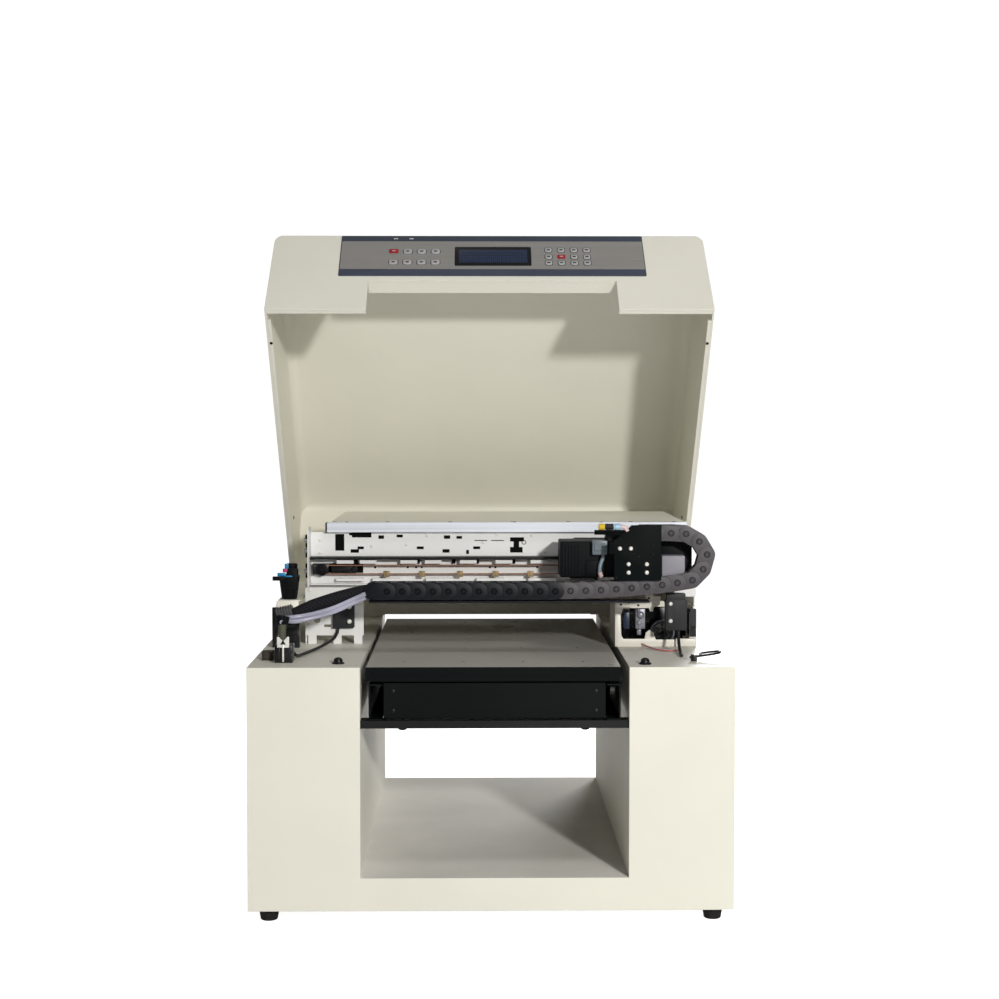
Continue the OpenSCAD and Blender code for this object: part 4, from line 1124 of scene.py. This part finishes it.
def build_left_deck():
    """Ink connector, sleeve, tubes, cup, sensor and cables on the left deck."""
    mesh = bmesh.new()
    add_turned(mesh, (-288, 236, 408), "Z", [(0, 0), (10.6, 0), (11, 0.6), (13.2, 18), (15, 33.2),
                                             (14.4, 34), (13.4, 33.6), (11.8, 19), (10, 4), (0, 4)],
               sides=40)
    add_turned(mesh, (-285, 243, 442), "Z", [(6.8, -4), (8, -3), (8, 15.4), (7.2, 16.2), (0, 16.2)],
               sides=32)
    add_box(mesh, (-309.6, 212, 436), (-292, 216, 442), 0.8)
    add_box(mesh, (-291, 222, 420), (-275, 238, 452), 1.6)
    make_piece("waste_cup_body", mesh, "plastic", "base", ("waste_cup",))
    mesh = bmesh.new()
    add_turned(mesh, (-288, 236, 441.2), "Z", [(14.9, -0.8), (15.2, 0.4), (14.6, 1.3), (13.3, 0.9),
                                               (13.3, -0.6)], sides=40)
    add_box(mesh, (-303.5, 219.5, 441.6), (-291, 221.5, 446.6), 0.8)
    make_piece("cup_cyan_rim", mesh, "cyan", "base")
    mesh = bmesh.new()
    add_box(mesh, (-296, 220.4, 447), (-289.4, 222.6, 452.6), 1.0)
    make_piece("cup_magenta_mark", mesh, "magenta", "base")
    mesh = bmesh.new()
    add_box(mesh, (-293, 219.6, 452.4), (-287.6, 222, 459.6), 0.8)
    make_piece("cup_cyan_mark", mesh, "cyan", "base")

    mesh = bmesh.new()
    add_plate(mesh, [(-309.5, 342), (-309.5, 352), (-308.5, 384), (-303, 407.5), (-272, 409),
                     (-272, 342)], 207, 209, "Y", 0.5)
    make_piece("connector_housing", mesh, "frame_cream", "base")
    mesh = bmesh.new()
    add_box(mesh, (-309, 200, 342), (-301, 206, 399), 0.8)
    add_box(mesh, (-292, 196, 342), (-270, 210, 385), 1.2)
    for z in (350, 360, 371):
        add_box(mesh, (-289, 194.9, z), (-273, 196.4, z + 3.4), 0.5, 1)
    add_box(mesh, (-288, 44, 342), (-264, 72, 366), 1.2)
    for x in (-284, -270):
        add_box(mesh, (x, 42.9, 345), (x + 3.4, 44.4, 363), 0.5, 1)
    make_piece("connector_base", mesh, "gloss", "base", ("hose_connector",))
    mesh = bmesh.new()
    add_turned(mesh, (-279, 57, 366), "Z", [(0, 0), (5.6, 0), (5.6, 2), (4.9, 3), (4.9, 19), (5.4, 20),
                                            (5.4, 26), (0, 26)], sides=32)
    for i in range(4):
        add_turned(mesh, (-279, 57, 370 + i * 4), "Z", [(4.9, 0), (5.4, 0.6), (5.4, 1.6), (4.9, 2.2)],
                   sides=32)
    make_piece("connector_column", mesh, "olive", "base")
    mesh = bmesh.new()
    add_turned(mesh, (-281, 62, 386), "Z", [
        (5.4, -2), (6.6, 2), (8.6, 9), (9.4, 16), (8.6, 16.6), (7.6, 15), (5.2, 4), (0, 3)], sides=36)
    turn = Matrix.Translation(spot(-281, 62, 386)) @ Matrix.Rotation(math.radians(9), 4,
            "Y") @ Matrix.Translation(
        -spot(-281, 62, 386))
    move_made(mesh, list(mesh.verts), turn)
    make_piece("hose_mouth", mesh, "plastic", "base")
    mesh = bmesh.new()
    add_box(mesh, (-308, 68, 342), (-292, 86, 354), 1.2)
    add_box(mesh, (-305, 66.9, 345), (-295, 68.4, 351), 0.4, 1)
    make_piece("deck_block", mesh, "brown", "base")

    mesh = bmesh.new()
    zigzag = [(-284.6, 377), (-284.6, 366.5), (-268.4, 366.5), (-268.4, 377), (-270.8, 377),
              (-276.5, 371.2), (-282.2, 377)]
    add_plate(mesh, zigzag, 42.6, 44.0, "Y", 0.3)
    add_plate(mesh, [(-277.7, 343.6), (-275.3, 343.6), (-275.3, 366.6), (-277.7, 366.6)], 42.6, 43.9,
              "Y", 0.3)
    add_box(mesh, (-284.6, 43.6, 362.4), (-268.4, 50, 367.2), 0.5, 1)
    make_piece("white_hose_clip", mesh, "screw_bright", "base")
    mesh = bmesh.new()
    add_plate(mesh, [(-280.2, 366.9), (-276.5, 373.0), (-272.8, 366.9)], 42.2, 43.2, "Y", 0.2)
    make_piece("hose_clip_gap", mesh, "gloss", "base")

    build_sleeve()
    build_left_lines()

    mesh = bmesh.new()
    add_plate(mesh, [(-226, 365), (-197, 365), (-195, 367), (-195, 407), (-212, 407), (-226, 400)], 234,
              241.8, "Y", 0.9)
    add_plate(mesh, [(-206, 370), (-198, 370), (-198, 402), (-206, 402)], 233.4, 234.4, "Y", 0.3)
    add_sensor_box(mesh)
    make_piece("sensor_bodies", mesh, "charcoal", "base", ("media_sensors",))
    screw_heads("left_sensor_screws", "screw_bright", "base", [(-202, 233.6, z) for z in (375, 396)],
                "Y", 3.4, -1.9)
    screw_heads("right_sensor_screws", "screw_bright", "base", [(251, 149.2, z) for z in (385, 409)],
                "Y", 3.0, -1.9)
    screw_heads("bracket_screws", "screw", "base", [(x, 242, z) for x, z in (
        (-261, 372), (-188, 420), (-260, 420), (-186, 400))], "Y", 2.6, -1.0)


def add_sensor_box(mesh):
    """The right sensor: a rounded box with a narrower neck, on its arm."""
    outline = rounded(244, 371.4, 274, 414.6, 3.2, 5)
    add_plate(mesh, outline, 150, 164, "Y", 0.9)
    add_plate(mesh, rounded(245.6, 412, 272, 423.6, 2.0, 4), 150.8, 163, "Y", 0.6)
    add_box(mesh, (250, 164, 380), (270, 203.8, 384), 0.4, 1)
    add_box(mesh, (246.4, 149.2, 382), (255.6, 150.4, 412), 0.5, 1)


def build_sleeve():
    """The braided sleeve round the cables, with its ribbed clamp."""
    length, width, height, lean = 118.0, 21.0, 18.0, math.radians(16.2)
    origin = Vector((-270, 119, 400))
    mesh = bmesh.new()
    layer = mesh.loops.layers.uv.new("UVMap")
    stations, sides = 26, 20
    rings = []
    for i in range(stations + 1):
        share = i / stations
        along = length * share
        lift = 3.2 * math.sin(math.pi * share)
        thin = 0.78 + 0.22 * min(1.0, share * 5) - 0.16 * max(0.0, share - 0.7)
        centre = origin + Vector((along * math.cos(lean), width / 2,
                                  1 + along * math.sin(lean) + lift - 1.6))
        ring = []
        for k in range(sides):
            turn = 2 * math.pi * k / sides
            across = math.copysign(abs(math.cos(turn)) ** 0.6, math.cos(turn)) * width / 2
            up = math.copysign(abs(math.sin(turn)) ** 0.6, math.sin(turn)) * height / 2 * thin
            offset = Vector((-up * math.sin(lean), across, up * math.cos(lean)))
            ring.append(mesh.verts.new(spot(*(centre + offset))))
        rings.append(ring)
    for i, (first, second) in enumerate(zip(rings, rings[1:])):
        for k in range(sides):
            after = (k + 1) % sides
            face = mesh.faces.new((first[k], first[after], second[after], second[k]))
            corners = ((i, k), (i, k + 1), (i + 1, k + 1), (i + 1, k))
            for loop, (a, b) in zip(face.loops, corners):
                loop[layer].uv = (a * length * MM / stations, b * 0.062 / sides)
    for ring in (rings[0], rings[-1]):
        mesh.faces.new(ring)
    make_piece("braided_sleeve", mesh, "sleeve", "base", ("hose_sleeve",))

    mesh = bmesh.new()
    add_box(mesh, (-294, 116, 387), (-271, 142, 407), 2.4, 3)
    for i in range(6):
        add_box(mesh, (-292.6 + i * 3.6, 115.0, 388.5), (-290.8 + i * 3.6, 143.0, 408.2), 0.6, 1)
    centre = spot(-284, 128, 397)
    move_made(mesh, list(mesh.verts),
              Matrix.Translation(centre) @ Matrix.Rotation(math.radians(-13), 4, "Y")
              @ Matrix.Translation(-centre))
    make_piece("sleeve_clamp", mesh, "clamp", "base")


def build_left_lines():
    """Ink tubes and sensor cables."""
    lines = setting("lines")
    tube, cable, sides = lines.tube / MM, lines.cable / MM, lines.sides
    mesh = bmesh.new()
    for shift in (0, 5.4):
        add_tube(mesh, [(-279, 53.5 + shift * 1.3, 395.4), (-281, 68 + shift * 1.6, 398),
                        (-268, 98 + shift, 391 + shift),
                        (-242, 109, 395 + shift), (-214, 112, 403 + shift), (-190, 112.5, 413.5 + shift),
                        (-171, 113, 422 + shift)], tube, sides)
    make_piece("lilac_ink_tubes", mesh, "tube", "base", ("ink_tubes",))
    mesh = bmesh.new()
    add_tube(mesh, [(-219, 238, 364.8), (-220, 236, 358), (-226, 222, 350), (-240, 180, 345.2),
                    (-254, 120, 345), (-262, 86, 346), (-266, 75.4, 352)], cable, sides)
    add_tube(mesh, [(263, 157, 376.8), (263, 156, 366), (262.6, 148, 354), (262, 128, 346),
                    (261, 106, 344.4), (260, 92, 344.4)], cable, sides)
    make_piece("sensor_cable_jackets", mesh, "cable", "base", ("sensor_cables",))
    mesh = bmesh.new()
    add_tube(mesh, [(262, 150, 344), (248, 145, 344), (232, 160, 344), (222, 190, 344),
                    (216, 202.8, 346)], 1.5, 12)
    make_piece("red_signal_wire", mesh, "red_wire", "base")
    mesh = bmesh.new()
    add_tube(mesh, [(262, 152, 344.2), (248, 147.2, 344.2), (233.6, 161.6, 344.2), (224, 190.8, 344.2),
                    (218, 202.8, 346.4)], 1.5, 12)
    make_piece("white_signal_wire", mesh, "white_wire", "base")


# ---- right deck ----

def build_right_deck():
    """The capping station: its sheet frame, base, slider and pump wheel, and the wire bail."""
    mesh = bmesh.new()
    add_plate(mesh, [(178, 342), (294, 342), (294, 352), (236, 352), (233, 362), (227, 366), (222, 362),
                     (220, 353), (190, 353), (187, 358), (186, 388), (180, 390), (178, 386)], 204, 206,
              "Y", 0.4)
    add_plate(mesh, [(178, 391), (187, 389), (189, 397), (226, 397), (228, 392), (232, 392), (233, 398),
                     (242, 402), (243, 414), (233, 414), (232, 419), (222, 416), (220, 408), (178, 408)],
              204, 206, "Y", 0.4)
    add_plate(mesh, [(284, 342), (294, 342), (294, 392), (284, 392)], 204.4, 206, "Y", 0.3)
    add_box(mesh, (178, 206, 342), (180, 300, 400), 0.4, 1)
    add_box(mesh, (292, 206, 342), (294, 300, 396), 0.4, 1)
    add_box(mesh, (180, 206, 342), (292, 300, 344), 0.4, 1)
    add_box(mesh, (264, 198, 342.4), (293, 204, 354), 1.0)
    make_piece("capping_sheet_frame", mesh, "frame_cream", "base", ("capping_frame",))
    mesh = bmesh.new()
    # Flat black discs on the sheet frame's front: painted shade where it has holes.
    for x, z in ((186, 402), (197, 405), (211, 401), (226, 411), (289, 386)):
        add_turned(mesh, (x, 204, z), "Y", [(0, -0.15), (1.6, -0.15), (1.9, 0.1), (0, 0.2)], sides=18)
    add_box(mesh, (184, 252, 344), (280, 298, 370), 1.2)
    add_box(mesh, (184, 210, 344), (200, 252, 352), 0.8)
    add_box(mesh, (284.3, 207, 357), (291.7, 250, 396), 0.8)
    add_bar(mesh, (246, 220, 362), "Y", 2.9, 31.9)
    add_box(mesh, (284.4, 203.0, 356), (293.6, 204.3, 396), 0.4, 1)
    add_box(mesh, (203, 246, 352), (284, 252, 394), 1.0)
    make_piece("capping_base_block", mesh, "gloss", "base", ("capping_base",))
    mesh = bmesh.new()
    add_box(mesh, (191, 214, 366), (200, 252, 390), 1.2)
    make_piece("capping_blue_block", mesh, "slate_blue", "base")

    mesh = bmesh.new()
    add_box(mesh, (208, 214, 366), (222, 250, 398), 1.0)
    add_box(mesh, (203, 216, 398), (228, 246, 402), 0.8)
    add_box(mesh, (211, 222, 356), (217, 240, 366), 0.8)
    add_turned(mesh, (215, 213.6, 386), "Y", [(0, -3.4), (2.4, -3.2), (4.4, -2.2), (5.4, -0.4),
                                              (5.4, 0.6), (0, 0.6)], sides=24)
    add_turned(mesh, (213, 213.8, 375), "Y", [(0, -2.2), (2.6, -2.0), (3.4, -0.4), (3.4, 0.4), (0, 0.4)],
               sides=20)
    add_bar(mesh, (212, 211.4, 390), "Z", 1.8, 8, sides=16)
    make_piece("cap_fitting", mesh, "fitting", "cap", ("cap_slider",))

    mesh = bmesh.new()
    outline = [(3.0, 9), (3.0, 0.6), (5.6, 0.2), (6.4, 1.4), (12.6, 1.4), (13.6, 0.2), (16.6, 0),
               (17.5, 0.9), (17.5, 8.2), (16.8, 9)]
    add_turned(mesh, (246, 210, 362), "Y", outline, sides=48)
    for i in range(6):
        turn = math.radians(60 * i + 30)
        add_bar(mesh, (246 + 9.4 * math.cos(turn), 210.5, 362 + 9.4 * math.sin(turn)), "Y", 2.2, 1.6,
                sides=16, bevel=0.3)
    make_piece("pump_wheel_body", mesh, "gloss", "pump", ("pump_wheel",))
    # A lighter blue-grey ring on the wheel's outer edge: a painted highlight of its rim.
    mesh = bmesh.new()
    add_turned(mesh, (246, 210, 362), "Y", [(15.9, 0.2), (16.4, -0.35), (17.3, -0.15), (17.6, 0.8),
                                            (17.2, 0.9)], sides=56)
    make_piece("pump_wheel_rim", mesh, "steel_blue", "pump")

    mesh = bmesh.new()
    add_tube(mesh, [(266.4, 55.6, 347), (276, 55.6, 347), (290, 55.6, 347), (300, 56.2, 347),
                    (307.2, 60, 347), (309.2, 67, 347), (307.2, 74, 347), (300, 77.8, 347),
                    (292, 78.4, 347), (285, 77.6, 347), (282.6, 74, 347), (282.4, 66, 347),
                    (282.6, 57.6, 347)], 3.0, 14, 5)
    hinge = spot(266.4, 55.6, 347)
    move_made(mesh, list(mesh.verts), Matrix.Translation(hinge) @ Matrix.Rotation(math.radians(-8), 4, "Y")
              @ Matrix.Translation(-hinge))
    make_piece("wire_bail", mesh, "plastic", "bail", ("wire_loop",))


def build_lid_parts():
    """Screws and buffers on the open lid."""
    screw_heads("lid_wall_screws", "dark_steel", "lid",
                [(-316.9, 60, 492), (-316.9, 110, 492), (-316.9, 470, 420)], "X", 3.0, 1.2, opened=True)
    screw_heads("lid_wall_screws_right", "dark_steel", "lid", [(316.9, 75, 492), (316.9, 470, 420)], "X",
                3.0, -1.2, opened=True)
    mesh = bmesh.new()
    for x in (-314.5, 314.5):
        for y in (60, 540):
            add_turned(mesh, (x, y, 342.2), "Z", [(0, 0), (2.0, 0), (2.3, 0.4), (2.3, 0.9), (0, 0.9)],
                       sides=16)
    make_piece("rim_buffers", mesh, "rubber", "lid", opened=True)


def build_rear():
    """Rotor blades and motor at the back of the base."""
    mesh = bmesh.new()
    add_turned(mesh, (250, 615, 200), "Y", [(0, 0), (11.6, 0), (13, 1.6), (13, 17), (12, 18), (0, 18)],
               sides=40)
    for i in range(7):
        before = set(mesh.verts)
        add_box(mesh, (262, 0, -8), (285, 1.6, 6), 0.5, 1)
        made = made_since(mesh, before)
        pivot = spot(250, 0, 0)
        tilt = Matrix.Rotation(math.radians(35), 4, "X")
        spin = Matrix.Rotation(2 * math.pi * i / 7, 4, "Y")
        move_made(mesh, made,
                  Matrix.Translation(spot(250, 624, 200)) @ spin @ tilt @ Matrix.Translation(-pivot))
    make_piece("fan_blades", mesh, "plastic", "fan", ("fan_rotor",))


# ---- stage ----

FLOOR_GLOW = 0.9
SOFT_LIGHT = 0.17
WHITE_BACKDROP = 1.05


def soft_lamp(name, place, aim, power, size, tint=(1.0, 1.0, 1.0)):
    """A soft square lamp that points at a place."""
    lamp = bpy.data.lights.new(name, "AREA")
    lamp.energy = power
    lamp.shape = "DISK"
    lamp.size = size
    lamp.color = tint
    holder = bpy.data.objects.new(name, lamp)
    holder.location = place
    holder.rotation_euler = (Vector(aim) - Vector(place)).to_track_quat("-Z", "Y").to_euler()
    bpy.context.scene.collection.objects.link(holder)


def build_stage():
    """Pale floor, white surroundings, soft lamps and the camera."""
    scene = bpy.context.scene
    mesh = bmesh.new()
    half = 12.0
    bmesh.ops.create_grid(mesh, x_segments=2, y_segments=2, size=half)
    data = bpy.data.meshes.new("floor")
    mesh.to_mesh(data)
    mesh.free()
    data.materials.append(material("floor"))
    shader = material("floor").node_tree.nodes["Principled BSDF"]
    shader.inputs["Emission Color"].default_value = (1.0, 1.0, 1.0, 1.0)
    tree = material("floor").node_tree
    eye, level = tree.nodes.new("ShaderNodeLightPath"), tree.nodes.new("ShaderNodeMath")
    level.operation = "MULTIPLY"
    level.inputs[1].default_value = FLOOR_GLOW
    tree.links.new(eye.outputs["Is Camera Ray"], level.inputs[0])
    tree.links.new(level.outputs["Value"], shader.inputs["Emission Strength"])
    floor = bpy.data.objects.new("floor", data)
    scene.collection.objects.link(floor)

    world = bpy.data.worlds.new("surroundings")
    scene.world = world
    world.use_nodes = True
    nodes, links = world.node_tree.nodes, world.node_tree.links
    around = nodes["Background"]
    around.inputs["Color"].default_value = (1.0, 1.0, 1.0, 1.0)
    around.inputs["Strength"].default_value = SOFT_LIGHT
    seen = nodes.new("ShaderNodeBackground")
    seen.inputs["Color"].default_value = (1.0, 1.0, 1.0, 1.0)
    seen.inputs["Strength"].default_value = WHITE_BACKDROP
    path = nodes.new("ShaderNodeLightPath")
    choose = nodes.new("ShaderNodeMixShader")
    links.new(path.outputs["Is Camera Ray"], choose.inputs["Fac"])
    links.new(around.outputs["Background"], choose.inputs[1])
    links.new(seen.outputs["Background"], choose.inputs[2])
    links.new(choose.outputs["Shader"], nodes["World Output"].inputs["Surface"])

    soft_lamp("key_lamp", (1.42, -4.10, 1.55), (0.0, 0.0, 0.45), 121.0, 0.28, (1.0, 0.985, 0.95))
    soft_lamp("top_lamp", (0.55, -1.3, 2.4), (0.0, -0.05, 0.38), 8.0, 0.5, (1.0, 0.99, 0.97))
    soft_lamp("rear_lamp", (0.75, 2.1, 1.0), (0.0, 0.1, 0.1), 26.0, 0.7)

    camera = bpy.data.cameras.new("camera")
    camera.lens = setting("stage").lens
    camera.sensor_width = 36.0
    camera.clip_start, camera.clip_end = 0.05, 60.0
    holder = bpy.data.objects.new("camera", camera)
    holder.location = (-0.0206, FRONT_Y - 2.2772, 0.6710)
    right_turn, down_turn = math.radians(0.786), math.radians(2.7465)
    holder.rotation_euler = (math.pi / 2 - down_turn, 0.0, -right_turn)
    scene.collection.objects.link(holder)
    scene.camera = holder
    scene.view_settings.view_transform = "Standard"
    scene.view_settings.look = "None"


# ---- operators ----

class PRINTER_OT_finishes(bpy.types.Operator):
    """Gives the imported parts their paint, metal, rubber and plastic"""
    bl_idname = "printer.finishes"
    bl_label = "Part finishes"

    def execute(self, context):
        dress_nodes()
        return {"FINISHED"}


class PRINTER_OT_base(bpy.types.Operator):
    """Builds the feet, the knobs and the fittings of the base"""
    bl_idname = "printer.base"
    bl_label = "Base"

    def execute(self, context):
        build_base()
        return {"FINISHED"}


class PRINTER_OT_bed(bpy.types.Operator):
    """Builds the bolts and the screws of the bed"""
    bl_idname = "printer.bed"
    bl_label = "Bed"

    def execute(self, context):
        build_bed()
        return {"FINISHED"}


class PRINTER_OT_mechanism(bpy.types.Operator):
    """Builds the small parts of the white frame"""
    bl_idname = "printer.mechanism"
    bl_label = "Print mechanism"

    def execute(self, context):
        build_mechanism()
        return {"FINISHED"}


class PRINTER_OT_chain(bpy.types.Operator):
    """Builds the links of the drag chain"""
    bl_idname = "printer.chain"
    bl_label = "Drag chain"

    def execute(self, context):
        build_chain()
        return {"FINISHED"}


class PRINTER_OT_carriage(bpy.types.Operator):
    """Builds the print carriage"""
    bl_idname = "printer.carriage"
    bl_label = "Carriage"

    def execute(self, context):
        build_carriage()
        return {"FINISHED"}


class PRINTER_OT_left_deck(bpy.types.Operator):
    """Builds the ink connector, the sleeve, the tubes, the cup and the sensors"""
    bl_idname = "printer.left_deck"
    bl_label = "Left deck"

    def execute(self, context):
        build_left_deck()
        return {"FINISHED"}


class PRINTER_OT_right_deck(bpy.types.Operator):
    """Builds the capping station and the wire bail"""
    bl_idname = "printer.right_deck"
    bl_label = "Right deck"

    def execute(self, context):
        build_right_deck()
        return {"FINISHED"}


class PRINTER_OT_panel(bpy.types.Operator):
    """Builds the control panel with its keys and display"""
    bl_idname = "printer.panel"
    bl_label = "Control panel"

    def execute(self, context):
        build_panel()
        return {"FINISHED"}


class PRINTER_OT_lid(bpy.types.Operator):
    """Builds the screws and the buffers of the lid"""
    bl_idname = "printer.lid"
    bl_label = "Lid"

    def execute(self, context):
        build_lid_parts()
        return {"FINISHED"}


class PRINTER_OT_rear(bpy.types.Operator):
    """Builds the fan's rotor"""
    bl_idname = "printer.rear"
    bl_label = "Fan"

    def execute(self, context):
        build_rear()
        return {"FINISHED"}


class PRINTER_OT_stage(bpy.types.Operator):
    """Sets up the floor, the lamps and the camera"""
    bl_idname = "printer.stage"
    bl_label = "Stage"

    def execute(self, context):
        build_stage()
        return {"FINISHED"}


OPERATORS = (PRINTER_OT_stage, PRINTER_OT_finishes, PRINTER_OT_base, PRINTER_OT_bed, PRINTER_OT_mechanism,
             PRINTER_OT_chain, PRINTER_OT_carriage, PRINTER_OT_left_deck, PRINTER_OT_right_deck,
             PRINTER_OT_panel, PRINTER_OT_lid, PRINTER_OT_rear)


class PRINTER_PT_panel(bpy.types.Panel):
    """Lists the steps that build the printer, and their settings"""
    bl_idname = "PRINTER_PT_panel"
    bl_label = "Flatbed UV Printer"
    bl_space_type = "VIEW_3D"
    bl_region_type = "UI"
    bl_category = "UV Printer"

    def draw(self, context):
        layout = self.layout
        for operator in OPERATORS:
            layout.operator(operator.bl_idname)
        for name, group in SETTINGS.items():
            box = layout.box()
            for field in group.__annotations__:
                box.prop(getattr(context.scene, name), field)


def register():
    """Registers the settings, the operators and the panel."""
    for group in SETTINGS.values():
        bpy.utils.register_class(group)
    for name, group in SETTINGS.items():
        setattr(bpy.types.Scene, name, PointerProperty(type=group))
    for operator in OPERATORS:
        bpy.utils.register_class(operator)
    bpy.utils.register_class(PRINTER_PT_panel)


def unregister():
    """Removes everything that register() added."""
    bpy.utils.unregister_class(PRINTER_PT_panel)
    for operator in reversed(OPERATORS):
        bpy.utils.unregister_class(operator)
    for name in SETTINGS:
        delattr(bpy.types.Scene, name)
    for group in reversed(list(SETTINGS.values())):
        bpy.utils.unregister_class(group)


def main():
    """Builds the printer step by step."""
    register()
    for operator in OPERATORS:
        group, step = operator.bl_idname.split(".")
        getattr(getattr(bpy.ops, group), step)()


if __name__ == "__main__":
    main()
